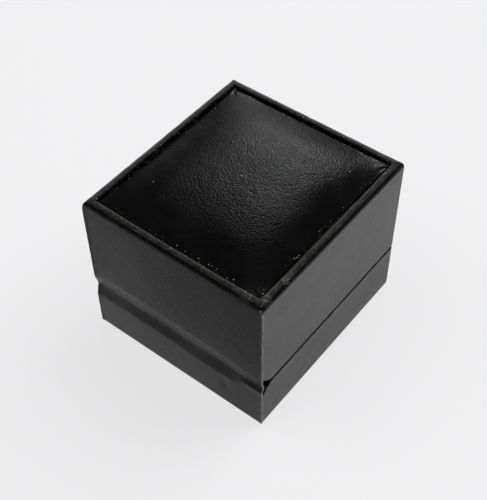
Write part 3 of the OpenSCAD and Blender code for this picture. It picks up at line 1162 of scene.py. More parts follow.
@dataclass
class LidCover:
    """The covering round the lid's sides and front, over the rim and turned in at the joint."""

    sizes: CaseSizes
    rim: Rim
    wave: float = 0.06

    def build(self) -> bpy.types.Object:
        """Makes the covering.

        Returns:
            The object.
        """
        s = self.sizes
        profile = self.rim.section()
        rim_end = len(profile.points)
        profile.line(0, s.strip_foot + 0.01, 0.5).line(0, s.strip_foot - 0.01, 0.02)
        profile.line(0, s.lid_foot + s.edge_r, 0.9)
        face_end = len(profile.points)
        profile.arc(s.edge_r, s.lid_foot + s.edge_r, s.edge_r, 180, 270, 6)
        profile.line(s.rim_in - s.edge_in, s.lid_foot, 0.5)
        profile.arc(s.rim_in - s.edge_in, s.lid_foot + s.edge_in, s.edge_in, 270, 360, 5)
        section = profile.line(s.rim_in, s.lid_foot + s.turn_in, 0.8).grid()
        normals = left_normals(section)
        number = np.arange(len(section))
        mitred = (number < rim_end) | (section[:, 1] > s.strip_foot)
        follow = np.interp(section[:, 1], [s.lid_foot + s.edge_r, s.lid_top - s.rim_r_out], [1, 0])
        follow = np.where(number < rim_end, 0.0, np.where(number < face_end, follow, 1.0))
        stations = Stations.spaced(s)
        face = self._grid(section, stations, mitred, follow)
        back = self._grid(section + s.skin * normals, stations, mitred, follow)
        face = self._relief(face, stations, section, number < rim_end, face_end)
        piece = Covering("lid_cover", face, back, Finish.LID_LEATHER).build()
        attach(piece, "lid")
        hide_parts("lid_side_cover")
        return piece

    def _grid(
        self, section: np.ndarray, stations: Stations, mitred: np.ndarray, follow: np.ndarray
    ) -> np.ndarray:
        """Sweeps a section round the lid.

        Args:
            section: Insets and heights.
            stations: Where along the way round.
            mitred: Which of its points end in the mitre at the back.
            follow: How far each point follows the bevel up.

        Returns:
            The grid of points.
        """
        s = self.sizes
        inset, height = tiled(section, len(stations.leg))
        end = np.where(mitred, s.half_d - inset, s.half_d - s.skin)
        plain = case_points(s, stations, inset, height, end)
        inset = self.rim.bowed_inset(inset, height, self.rim.corner_gap(plain))
        points = case_points(s, stations, inset, height, end)
        points[..., 2] += bevel_lift(s, points[..., 1]) * follow
        return points

    def _relief(
        self, face: np.ndarray, stations: Stations, section: np.ndarray, rim: np.ndarray, face_end: int
    ) -> np.ndarray:
        """Adds the unevenness of glued leatherette.

        Args:
            face: The plain grid.
            stations: Where along the way round.
            section: Insets and heights of the profile.
            rim: Which profile points belong to the rim.
            face_end: Number of the last point of the flat face.

        Returns:
            The uneven grid.
        """
        rise = self.rim.rise(face)
        wave = self.wave * rough_field(face, 15.0, 4.0) + 0.3 * self.wave * rough_field(face, 5.0, 5.0)
        flat = (np.arange(len(section)) < face_end)[None, :] * ~rim[None, :]
        edge = smooth_step(self.sizes.half_d - self.sizes.skin - face[..., 1], 0.0, 2.0)
        wave = wave * flat * edge * smooth_step(face[..., 2], self.sizes.lid_foot, self.sizes.lid_foot + 4)
        return face + face_normals(section, stations) * (rise + wave)[..., None]


@dataclass
class RimStrip:
    """The strip over the back of the rim, mitred at both ends, with a raw lower edge."""

    sizes: CaseSizes
    rim: Rim
    sag: float = 0.05
    sag_zone: float = 1.2

    def build(self) -> bpy.types.Object:
        """Makes the strip.

        Returns:
            The object.
        """
        s = self.sizes
        section = self.rim.section().line(0, s.strip_foot, 0.3).grid()
        normals = left_normals(section)
        share = Stations.eased(2 * s.half_w) * 2 - 1
        face = self._grid(section, share)
        back = self._grid(section + s.skin * normals, share)
        normal = np.stack([0 * normals[:, 0], normals[:, 0], -normals[:, 1]], -1)
        face = face + normal[None] * self.rim.rise(face)[..., None]
        near_foot = smooth_step(-section[:, 1], -s.strip_foot - self.sag_zone, -s.strip_foot)
        face[..., 2] += self.sag * rough_field(face, 6.0, 9.0) * near_foot
        raw = frozenset({Side.LAST_COLUMN})
        piece = Covering("lid_rim_strip_cover", face, back, Finish.BACK_LEATHER, raw).build()
        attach(piece, "lid")
        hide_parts("lid_rim_strip")
        return piece

    def _grid(self, section: np.ndarray, share: np.ndarray) -> np.ndarray:
        """Sweeps a section along the back of the rim.

        Args:
            section: Insets and heights.
            share: Places along the back, -1 to 1.

        Returns:
            The grid of points.
        """
        s = self.sizes
        plain, height = tiled(section, len(share))
        inset = plain
        for _ in range(2):
            x = share[:, None] * (s.half_w - inset)
            points = np.stack([x, s.half_d - inset, height], -1)
            inset = self.rim.bowed_inset(plain, height, self.rim.corner_gap(points))
        return points


@dataclass
class LidPad:
    """The recessed pad: covering over foam, drawn in between its corners."""

    sizes: CaseSizes
    draw_side: float = 1.0
    draw_end: float = 0.3
    crown: float = 2.14
    crest_drop: float = 1.1
    shoulder: float = 3.3
    fullness: float = 1.1
    roll: float = 0.6
    roll_steps: int = 7
    lean: float = 0.12
    fit: float = 0.08
    step: float = 0.55
    edge_zone: float = 3.0
    edge_places: int = 10
    pucker: float = 0.05

    @property
    def half(self) -> np.ndarray:
        """Half width and half depth at the corners."""
        return np.array([self.sizes.half_w, self.sizes.half_d]) - self.sizes.rim_in - self.fit

    def build(self) -> bpy.types.Object:
        """Makes the pad's covering.

        Returns:
            The object.
        """
        points, faces, around = self._skin(0.0)
        inner = self._skin(self.sizes.skin)[0]
        count = len(points)
        line = np.arange(count - around, count)
        faces += [tuple(i + count for i in reversed(face)) for face in faces]
        faces += [(a, b, b + count, a + count) for a, b in zip(line, np.roll(line, -1))]
        piece = make_piece("lid_pad_leather", np.concatenate([points, inner]), faces, [Finish.PAD_LEATHER])
        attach(piece, "lid")
        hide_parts("lid_pad_cover")
        return piece

    def core(self, depth: float, foot: float) -> tuple[np.ndarray, list, np.ndarray]:
        """The space inside the covering, down to the card.

        Args:
            depth: How far inside the covering's face it lies.
            foot: Height of the card's top.

        Returns:
            Its points, its faces, and the numbers of the points round its foot.
        """
        points, faces, around = self._skin(depth)
        keep = len(points) - 2 * around
        points = points[:keep]
        faces = [face for face in faces if max(face) < keep]
        points[-around:, 2] = foot
        return points, faces, np.arange(keep - around, keep)

    def _places(self, half: float) -> np.ndarray:
        """Places across the pad, -1 to 1, closer at its edges."""
        ends = np.linspace(0, self.edge_zone, self.edge_places)
        middle = spread(self.edge_zone, 2 * half - self.edge_zone, self.step)
        return np.concatenate([ends, middle[1:-1], 2 * half - ends[::-1]]) / half - 1

    def _skin(self, depth: float) -> tuple[np.ndarray, list, int]:
        """One side of the covering: the crowned top, the rolled edge and the flap under the card.

        Args:
            depth: How far inside the face it lies.

        Returns:
            Its points, its faces, and how many points each line round it holds.
        """
        s = self.sizes
        crest = s.lid_top - self.crest_drop
        u, v = np.meshgrid(self._places(self.half[0]), self._places(self.half[1]), indexing="ij")
        reach = self.half - self.roll
        x = u * (reach[0] - self.draw_side * (1 - v**2))
        y = v * (reach[1] - self.draw_end * (1 - u**2))
        fall_u, fall_v = 1 - np.abs(u) ** self.shoulder, 1 - np.abs(v) ** self.shoulder
        z = crest + self.crown * (fall_u * fall_v) ** self.fullness - depth
        top = np.stack([x, y, z], -1)
        if depth == 0.0:
            top[..., 2] += self._puckers(top, u)
        index = np.arange(u.size).reshape(u.shape)
        faces = [tuple(quad) for quad in grid_quads(index)]
        line = np.concatenate([index[:-1, 0], index[-1, :-1], index[:0:-1, -1], index[0, :0:-1]])
        points = top.reshape(-1, 3)
        for ring in self._rings(points[line], u.ravel()[line], v.ravel()[line], depth):
            new = np.arange(len(points), len(points) + len(ring))
            points = np.concatenate([points, ring])
            faces += zip(line, new, np.roll(new, -1), np.roll(line, -1))
            line = new
        return points, faces, len(line)

    def _rings(self, edge: np.ndarray, u: np.ndarray, v: np.ndarray, depth: float) -> list[np.ndarray]:
        """Lines round the pad below its top: down the rolled edge, the wall and in under the card.

        Args:
            edge: The points round the top's edge.
            u: Their places across.
            v: Their places along.
            depth: How far inside the face they lie.

        Returns:
            The lines, from the top down.
        """
        s = self.sizes
        away = self._edge_directions(u, v)
        radius = self.roll - depth
        rings = []
        for turn in np.linspace(0, np.pi / 2, self.roll_steps + 1)[1:]:
            ring = edge + away * (radius * math.sin(turn))
            ring[:, 2] = edge[:, 2] - radius * (1 - math.cos(turn))
            rings.append(ring)
        drop = s.lid_top - self.crest_drop - self.roll - s.recess_floor
        wall = rings[-1].copy()
        wall[:, 2] = s.recess_floor + 0.35 + 0.3 * drop
        foot = wall - away * self.lean
        foot[:, 2] = s.recess_floor + depth
        return [*rings, wall, foot, foot - away * s.turn_under]

    @staticmethod
    def _edge_directions(u: np.ndarray, v: np.ndarray) -> np.ndarray:
        """Outward directions in plan along the edge, turning quickly at the corners."""
        sharp = 40
        x = np.sign(u) * np.abs(u) ** sharp
        y = np.sign(v) * np.abs(v) ** sharp
        out = np.stack([x, y, 0 * x], -1)
        return out / np.maximum(np.abs(out).max(-1, keepdims=True), 1e-6)

    def _puckers(self, top: np.ndarray, across: np.ndarray) -> np.ndarray:
        """Small folds that run in from the corners, and soft unevenness of the foam.

        Args:
            top: The plain top.
            across: Places across, -1 to 1.

        Returns:
            The rise of each point.
        """
        gap_x = self.half[0] - np.abs(top[..., 0])
        gap_y = self.half[1] - np.abs(top[..., 1])
        away = np.hypot(gap_x, gap_y)
        angle = np.arctan2(gap_y, gap_x)
        folds = np.cos(angle * 9.0 + 0.8 * np.sign(across)) * bell(away, 2.6, 2.2)
        soft = 0.05 * rough_field(top, 11.0, 12.0) + 0.018 * rough_field(top, 3.2, 13.0)
        border = np.minimum(gap_x, gap_y)
        tension = 0.03 * np.exp(-border / 2.0) * rough_field(top, 2.2, 14.0)
        return self.pucker * folds + soft * smooth_step(border, 0.5, 5.0) + tension


# ---------------------------------------------------------------- the back sheet and the base


@dataclass
class BackSheet:
    """The leatherette over the whole back: down the lid, creased over the joint, down the base."""

    sizes: CaseSizes
    crease: float = 1.02
    proud: float = 0.16
    curl: float = 0.20
    tuck: float = 1.1
    bulge: float = 0.22
    bottom: float = 20.35
    sharp: float = 0.10
    blur: tuple[float, ...] = (-0.4, -0.2, 0.0, 0.2, 0.4)
    wave: float = 0.06
    foot_r: float = 0.5
    fine_to: float = -20.0
    near_zone: tuple[float, float] = (21.0, 31.0)

    def build(self) -> bpy.types.Object:
        """Makes the sheet.

        Returns:
            The object.
        """
        s = self.sizes
        side = s.half_w + self.proud
        x = np.concatenate([spread(-side, self.fine_to, 0.4), spread(self.fine_to, side, 0.9)[1:]])
        z = np.concatenate([
            spread(s.strip_foot, s.fold_high + 4, 0.9)[:-1],
            spread(s.fold_high + 4, s.fold_low - 2, 0.25)[:-1],
            spread(s.fold_low - 2, s.foot + self.foot_r, 0.7),
        ])
        xx, zz = np.meshgrid(x, z, indexing="ij")
        depth = self._fold(xx, zz) + self._unevenness(xx, zz)
        ragged = 0.12 * rough_field(np.stack([0 * zz, np.sign(xx), zz], -1), 1.3, 25.0)
        xx = xx + ragged * smooth_step(np.abs(xx), s.half_w - 1.0, s.half_w)
        upright = np.stack([xx, s.half_d - depth, zz], -1)
        turn = np.linspace(0, np.pi / 2, 6)[1:]
        foot_y = s.half_d - self.foot_r * (1 - np.cos(turn))
        foot_z = s.foot + self.foot_r * (1 - np.sin(turn))
        inward = np.concatenate([foot_y, spread(s.half_d - self.foot_r, s.half_d - s.turn_under, 1.5)[1:]])
        low = np.concatenate([foot_z, np.full(len(inward) - len(foot_y), s.foot)])
        tuck = self.tuck * np.minimum(np.arange(1, len(inward) + 1) / len(foot_y), 1.0)
        under = np.stack([
            x[:, None] * (1 - tuck[None, :] / s.half_w),
            np.tile(inward, (len(x), 1)),
            np.tile(low, (len(x), 1)),
        ], -1)
        face = np.concatenate([upright, under], 1)
        section = np.stack([s.half_d - face[..., 1], face[..., 2]], -1)
        inner = left_normals(section)
        aside = np.zeros_like(inner[..., 0])
        back = face + s.skin * np.stack([aside, -inner[..., 0], inner[..., 1]], -1)
        face[..., 1] += self.curl * smooth_step(np.abs(face[..., 0]), s.half_w - 0.6, side)
        raw = frozenset({Side.FIRST_ROW, Side.LAST_ROW, Side.FIRST_COLUMN})
        piece = Covering("back_leather", face, back, Finish.BACK_LEATHER, raw).build()
        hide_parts("lid_back_cover", "hinge_fold", "base_back_cover")
        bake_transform(piece)
        return piece

    def _fold(self, x: np.ndarray, z: np.ndarray) -> np.ndarray:
        """Depth of the crease over the joint.

        Args:
            x: Places across the back.
            z: Heights.

        Returns:
            The depth at each.
        """
        s = self.sizes
        near = smooth_step(-x, *self.near_zone)
        end = bell(x, s.half_w, 5.0)
        slack = bell(x, -26.5, 2.4)
        crease = self.crease * (1 - 0.35 * near - 0.15 * slack) + 0.05 * np.sin(x / 5.0)
        high = s.fold_high + 1.8 + 0.028 * x - 2.2 * near - 3.0 * end
        low = s.fold_low - 0.75 + 0.5 * np.sin(x / 9.0) + 3.2 * near + 0.7 * end
        middle = self.bottom + 0.15 * np.sin(x / 3.1)
        shape = 0.0
        for shift in self.blur:
            above = (z + shift - middle) / (high - middle)
            below = (middle - z - shift) / (middle - low)
            across = np.clip(np.maximum(above, below), 0, 1)
            bend = np.sqrt(across**2 + self.sharp**2) - self.sharp
            shape = shape + 1 - bend / (math.hypot(1, self.sharp) - self.sharp)
        lip = self.bulge * near * bell(z, 18.6, 1.3)
        return crease * shape / len(self.blur) - lip

    def _unevenness(self, x: np.ndarray, z: np.ndarray) -> np.ndarray:
        """Low waves of glued leatherette, and the dents of handling on the base.

        Args:
            x: Places across the back.
            z: Heights.

        Returns:
            The depth at each.
        """
        s = self.sizes
        points = np.stack([x, 0 * x + s.half_d, z], -1)
        wave = self.wave * (rough_field(points, 14.0, 21.0) + 0.4 * rough_field(points, 4.5, 22.0))
        dent = 0.32 * bell(x, -19.9, 1.9) * smooth_step(z, 5.0, 11.0) * smooth_step(-z, -16.5, -11.0)
        dent = dent + 0.10 * bell(x, -27.5, 1.4) * bell(z, 36.5, 1.8)
        held = smooth_step(np.abs(z - s.strip_foot), 0.0, 2.0)
        return 0.5 * self.wave + wave * held + dent


@dataclass
class BaseCover:
    """The covering round the base's sides and front, turned in at the top and under the foot."""

    sizes: CaseSizes
    wave: float = 0.05

    def build(self) -> bpy.types.Object:
        """Makes the covering.

        Returns:
            The object.
        """
        s = self.sizes
        profile = Profile(s.rim_in, s.base_top - s.turn_in).line(s.rim_in, s.base_top - s.edge_in, 0.8)
        profile.arc(s.rim_in - s.edge_in, s.base_top - s.edge_in, s.edge_in, 0, 90, 5)
        profile.line(s.edge_r, s.base_top, 0.5)
        profile.arc(s.edge_r, s.base_top - s.edge_r, s.edge_r, 90, 180, 7)
        top_end = len(profile.points)
        profile.line(0, s.foot + s.edge_r, 0.9)
        face_end = len(profile.points)
        profile.arc(s.edge_r, s.foot + s.edge_r, s.edge_r, 180, 270, 6)
        section = profile.line(s.turn_under, s.foot, 1.2).grid()
        normals = left_normals(section)
        number = np.arange(len(section))
        follow = np.interp(section[:, 1], [s.foot + s.edge_r, s.base_top - s.edge_r], [0, 1])
        follow = np.where(number < top_end, 1.0, np.where(number < face_end, follow, 0.0))
        stations = Stations.spaced(s)
        face = self._grid(section, stations, follow)
        back = self._grid(section + s.skin * normals, stations, follow)
        wave = self.wave * (rough_field(face, 13.0, 31.0) + 0.4 * rough_field(face, 4.0, 32.0))
        flat = ((number >= top_end) & (number < face_end))[None, :]
        edge = 0.04 * rough_field(face, 3.0, 33.0) * (number < face_end)[None, :]
        held = smooth_step(s.half_d - s.skin - face[..., 1], 0.0, 2.0)
        rise = (wave * flat + edge) * held
        face = face + face_normals(section, stations) * rise[..., None]
        piece = Covering("base_cover", face, back, Finish.LID_LEATHER).build()
        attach(piece, "base")
        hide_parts("base_side_cover")
        return piece

    def _grid(self, section: np.ndarray, stations: Stations, follow: np.ndarray) -> np.ndarray:
        """Sweeps a section round the base.

        Args:
            section: Insets and heights.
            stations: Where along the way round.
            follow: How far each point follows the bevel down.

        Returns:
            The grid of points.
        """
        s = self.sizes
        inset, height = tiled(section, len(stations.leg))
        points = case_points(s, stations, inset, height, s.half_d - s.skin)
        points[..., 2] -= bevel_lift(s, points[..., 1]) * follow
        return points


# ---------------------------------------------------------------- inside the box


class FormTree:
    """A Geometry Nodes tree with named inputs, whose result becomes a plain mesh."""

    def __init__(self, name: str, inputs: dict[str, tuple[str, object]]) -> None:
        """Makes the tree and its inputs.

        Args:
            name: The tree's name, and that of the object made with it.
            inputs: Socket type and value by the input's name.
        """
        self.name = name
        self.tree = bpy.data.node_groups.new(name, "GeometryNodeTree")
        self.values: dict[str, object] = {}
        for key, (kind, value) in inputs.items():
            socket = self.tree.interface.new_socket(key, in_out="INPUT", socket_type=kind)
            self.values[socket.identifier] = value
        self.tree.interface.new_socket("Geometry", in_out="OUTPUT", socket_type="NodeSocketGeometry")
        self.graph = Graph(self.tree)
        self._given = self.graph.node("NodeGroupInput")

    def value(self, name: str) -> Signal:
        """One of the tree's inputs."""
        return self._given.out(name)

    def moved(self, geometry: Signal, x: Value, y: Value, z: Value) -> Signal:
        """Geometry with every point moved to a place.

        Args:
            geometry: The geometry.
            x: Place across.
            y: Place along.
            z: Height.

        Returns:
            The moved geometry.
        """
        place = self.graph.node("ShaderNodeCombineXYZ", None, {0: x, 1: y, 2: z}).out()
        inputs = {"Geometry": geometry, "Position": place}
        return self.graph.node("GeometryNodeSetPosition", None, inputs).out()

    def finished(self, geometry: Signal, finish: Finish) -> bpy.types.Object:
        """Ends the tree, and makes the object whose plain mesh is its result.

        Args:
            geometry: What the tree makes.
            finish: The finish of all of it.

        Returns:
            The object, without a modifier.
        """
        solid = self.graph.node("GeometryNodeRealizeInstances", None, {0: geometry}).out()
        inputs = {"Geometry": solid, "Material": finish.material()}
        dressed = self.graph.node("GeometryNodeSetMaterial", None, inputs).out()
        self.graph.node("NodeGroupOutput", None, {0: dressed})
        made = bpy.data.objects.new(self.name, bpy.data.meshes.new(self.name))
        bpy.context.scene.collection.objects.link(made)
        modifier = made.modifiers.new("form", "NODES")
        modifier.node_group = self.tree
        for identifier, value in self.values.items():
            modifier[identifier] = value
        keep_evaluated(made)
        LOG.info("%s: %d faces", self.name, len(made.data.polygons))
        return made


def keep_evaluated(piece: bpy.types.Object) -> None:
    """Turns a piece's modifiers into its plain mesh.

    Args:
        piece: The object.
    """
    bpy.context.view_layer.update()
    graph = bpy.context.evaluated_depsgraph_get()
    mesh = bpy.data.meshes.new_from_object(piece.evaluated_get(graph))
    piece.modifiers.clear()
    piece.data = mesh


@dataclass
class Cushion:
    """A velvet cushion on its card: a crowned form whose foam swells under its cover."""

    node: str
    name: str
    body: str
    edge_h: float
    crown: float
    draw: tuple[float, float]
    roll: float
    hangs: bool = False
    shrink: float = 0.35
    enlarge: float = 8.0
    voxel: float = 0.75
    pressure: float = 4.0
    cap: float = 0.9
    frames: int = 20
    cloth_quality: int = 5
    grid: int = 49
    headroom: float = 0.3
    low: np.ndarray = field(init=False)
    high: np.ndarray = field(init=False)

    def build(self) -> bpy.types.Object:
        """Makes the cushion.

        Returns:
            The object.
        """
        self.low, self.high = node_box(self.node)
        piece = self._form()
        self._remesh(piece)
        self._swell(piece)
        self._settle(piece)
        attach(piece, self.body)
        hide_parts(self.node)
        return piece

    def _form(self) -> bpy.types.Object:
        """Makes the crowned form with Geometry Nodes, from its named sizes.

        Returns:
            The object, one unit to the millimetre, its foot at height 0.
        """
        half = (self.high - self.low)[:2] / 2 - self.shrink
        number = "NodeSocketFloat"
        form = FormTree(self.name, {
            "Half width": (number, float(half[0])),
            "Half depth": (number, float(half[1])),
            "Drawn in at the sides": (number, self.draw[0]),
            "Drawn in at the ends": (number, self.draw[1]),
            "Edge height": (number, self.edge_h - self.shrink),
            "Crown": (number, self.crown),
            "Roll": (number, self.roll),
        })
        graph = form.graph
        size = {"Size": (2.0, 2.0, 1.0), "Vertices X": self.grid, "Vertices Y": self.grid, "Vertices Z": 2}
        block = graph.node("GeometryNodeMeshCube", None, size).out("Mesh")
        across, along, up = graph.axes(graph.node("GeometryNodeInputPosition").out())
        u = (across * (math.pi / 2)).sine()
        v = (along * (math.pi / 2)).sine()
        fall_u, fall_v = 1 - u * u, 1 - v * v
        roll = form.value("Roll")
        edge = 1.0
        for t in (u, v):
            edge = edge * (1 - t.size() ** roll).most(0.0) ** (1.0 / roll)
        top = (form.value("Edge height") + form.value("Crown") * fall_u * fall_v) * edge
        x = u * (form.value("Half width") - form.value("Drawn in at the sides") * fall_v)
        y = v * (form.value("Half depth") - form.value("Drawn in at the ends") * fall_u)
        crowned = form.moved(block, x, y, top * (up + 0.5))
        return form.finished(crowned, Finish.VELVET)

    def _remesh(self, piece: bpy.types.Object) -> None:
        """Gives the form even faces.

        Args:
            piece: The object.
        """
        modifier = piece.modifiers.new("even", "REMESH")
        modifier.mode = "VOXEL"
        modifier.voxel_size = self.voxel
        keep_evaluated(piece)

    def _swell(self, piece: bpy.types.Object) -> None:
        """Swells the foam with cloth pressure, and caps how far a point moves.

        Args:
            piece: The object.
        """
        piece.data.transform(Matrix.Scale(self.enlarge * MM, 4))
        start = mesh_points(piece)
        scene = bpy.context.scene
        cloth = piece.modifiers.new("swell", "CLOTH")
        cloth.settings.quality = self.cloth_quality
        cloth.settings.use_pressure = True
        cloth.settings.uniform_pressure_force = self.pressure
        cloth.settings.effector_weights.gravity = 0.0
        cloth.point_cache.frame_start = 1
        cloth.point_cache.frame_end = self.frames
        for frame in range(1, self.frames + 1):
            scene.frame_set(frame)
        keep_evaluated(piece)
        scene.frame_set(1)
        move = mesh_points(piece) - start
        reach = np.linalg.norm(move, axis=1, keepdims=True)
        cap = self.cap * self.enlarge * MM
        move *= np.minimum(1.0, cap / np.maximum(reach, 1e-9))
        set_points(piece, (start + move) / (self.enlarge * MM))

    def _settle(self, piece: bpy.types.Object) -> None:
        """Rounds the cushion once more and sets it on its card.

        Args:
            piece: The object.
        """
        smooth = piece.modifiers.new("smooth", "SMOOTH")
        smooth.factor = 0.5
        smooth.iterations = 3
        finer = piece.modifiers.new("finer", "SUBSURF")
        finer.levels = finer.render_levels = 1
        keep_evaluated(piece)
        points = mesh_points(piece)
        height = (self.high - self.low)[2]
        half = (self.high - self.low)[:2] / 2
        points[:, :2] = np.clip(points[:, :2], -half, half)
        points[:, 2] = np.clip(points[:, 2], 0.0, height + self.headroom)
        if self.hangs:
            points[:, 2] *= -1
            piece.data.flip_normals()
        foot = self.high[2] if self.hangs else self.low[2]
        middle = (self.low + self.high) / 2
        points += (middle[0], middle[1], foot)
        set_points(piece, points * MM)
        piece.data.materials.clear()
        piece.data.materials.append(Finish.VELVET.material())
        piece.data.polygons.foreach_set("use_smooth", np.ones(len(piece.data.polygons), dtype=bool))


def mesh_points(piece: bpy.types.Object) -> np.ndarray:
    """The places of a mesh object's vertices."""
    flat = np.empty(3 * len(piece.data.vertices))
    piece.data.vertices.foreach_get("co", flat)
    return flat.reshape(-1, 3)


def set_points(piece: bpy.types.Object, points: np.ndarray) -> None:
    """Moves a mesh object's vertices.

    Args:
        piece: The object.
        points: Their new places.
    """
    piece.data.vertices.foreach_set("co", points.ravel())
    piece.data.update()


@dataclass
class Rivets:
    """A row of domed rivets through a hinge leaf, made with Geometry Nodes."""

    node: str
    body: str
    count: int = 3
    shank_r: float = 0.6
    head_h: float = 0.3

    def build(self) -> bpy.types.Object:
        """Makes the row.

        Returns:
            The object.
        """
        low, high = node_box(self.node)
        head_r = (high[2] - low[2]) / 2
        spacing = (high[0] - low[0] - 2 * head_r) / (self.count - 1)
        number = "NodeSocketFloat"
        row = FormTree(self.node.replace("rivets", "rivet_row"), {
            "Count": ("NodeSocketInt", self.count),
            "Spacing": (number, spacing * MM),
            "Head radius": (number, head_r * MM),
            "Head height": (number, self.head_h * MM),
            "Shank radius": (number, self.shank_r * MM),
            "Shank length": (number, (high[1] - low[1] - self.head_h) * MM),
            "Middle": ("NodeSocketVector", (0.0, (low[1] + self.head_h) * MM, (low[2] + high[2]) / 2 * MM)),
        })
        graph = row.graph
        ball_size = {"Segments": 24, "Rings": 14, "Radius": 1.0}
        ball = graph.node("GeometryNodeMeshUVSphere", None, ball_size).out("Mesh")
        x, y, z = graph.axes(graph.node("GeometryNodeInputPosition").out())
        radius = row.value("Head radius")
        head = row.moved(ball, x * radius, y * radius, z.most(0.0) * row.value("Head height"))
        length = row.value("Shank length")
        bar_size = {"Vertices": 20, "Radius": row.value("Shank radius"), "Depth": length}
        bar = graph.node("GeometryNodeMeshCylinder", {"fill_type": "TRIANGLE_FAN"}, bar_size).out("Mesh")
        lowered = graph.node("ShaderNodeCombineXYZ", None, {2: length * -0.5}).out()
        shank = graph.node("GeometryNodeTransform", None, {"Geometry": bar, "Translation": lowered}).out()
        both = graph.node("GeometryNodeJoinGeometry")
        for part in (head, shank):
            graph.tree.links.new(part.socket, both.node.inputs[0])
        start = row.value("Spacing") * (row.value("Count") - 1) * -0.5
        first = graph.node("ShaderNodeCombineXYZ", None, {0: start})
        step = graph.node("ShaderNodeCombineXYZ", None, {0: row.value("Spacing")})
        line_size = {"Count": row.value("Count"), "Start Location": first.out(), "Offset": step.out()}
        line = graph.node("GeometryNodeMeshLine", None, line_size).out()
        turned = {"Points": line, "Instance": both.out(), "Rotation": (math.pi / 2, 0.0, 0.0)}
        rivets = graph.node("GeometryNodeInstanceOnPoints", None, turned).out()
        placed = {"Geometry": rivets, "Translation": row.value("Middle")}
        piece = row.finished(graph.node("GeometryNodeTransform", None, placed).out(), Finish.STEEL)
        piece.data.set_sharp_from_angle(angle=math.radians(40))
        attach(piece, self.body)
        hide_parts(self.node)
        return piece


@dataclass
class SnapSpring:
    """The bowed strip that snaps the lid, bent between the two leaves."""

    node: str = "hinge_spring"
    thick: float = 0.25
    step: float = 0.3
    taper: float = 0.35
    taper_zone: float = 1.6

    def build(self) -> bpy.types.Object:
        """Makes the strip.

        Returns:
            The object.
        """
        low, high = node_box(self.node)
        half = (high[2] - low[2]) / 2
        middle = (high[2] + low[2]) / 2
        sag = high[1] - low[1] - self.thick
        radius = (half**2 + sag**2) / (2 * sag)
        z = spread(-half, half, self.step)
        y = low[1] + radius - np.sqrt(radius**2 - z**2)
        near_end = smooth_step(np.abs(z), half - self.taper_zone, half)
        width = (high[0] - low[0]) / 2 * (1 - self.taper * near_end**2)
        share = np.linspace(-1, 1, 7)
        x = share[:, None] * width[None, :]
        yy = np.tile(y, (len(share), 1))
        zz = np.tile(z + middle, (len(share), 1))
        face = np.stack([x, yy, zz], -1)
        back = np.stack([x, yy + self.thick, zz], -1)
        piece = Covering("snap_spring", face, back, Finish.STEEL).build()
        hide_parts(self.node)
        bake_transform(piece)
        return piece


@dataclass
class PadFoam:
    """The foam under the lid pad's covering, on its card."""

    pad: LidPad
    gap: float = 0.03

    def build(self) -> bpy.types.Object:
        """Makes the foam.

        Returns:
            The object.
        """
        foot = node_box("lid_pad_card")[1][2]
        points, faces, edge = self.pad.core(self.pad.sizes.skin + self.gap, foot)
        middle = len(points)
        points = np.concatenate([points, [[0.0, 0.0, foot]]])
        faces += [(a, b, middle) for a, b in zip(np.roll(edge, -1), edge)]
        piece = make_piece("pad_foam", points, faces, [Finish.FOAM])
        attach(piece, "lid")
        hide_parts("lid_pad_foam")
        return piece


# ---------------------------------------------------------------- the studio


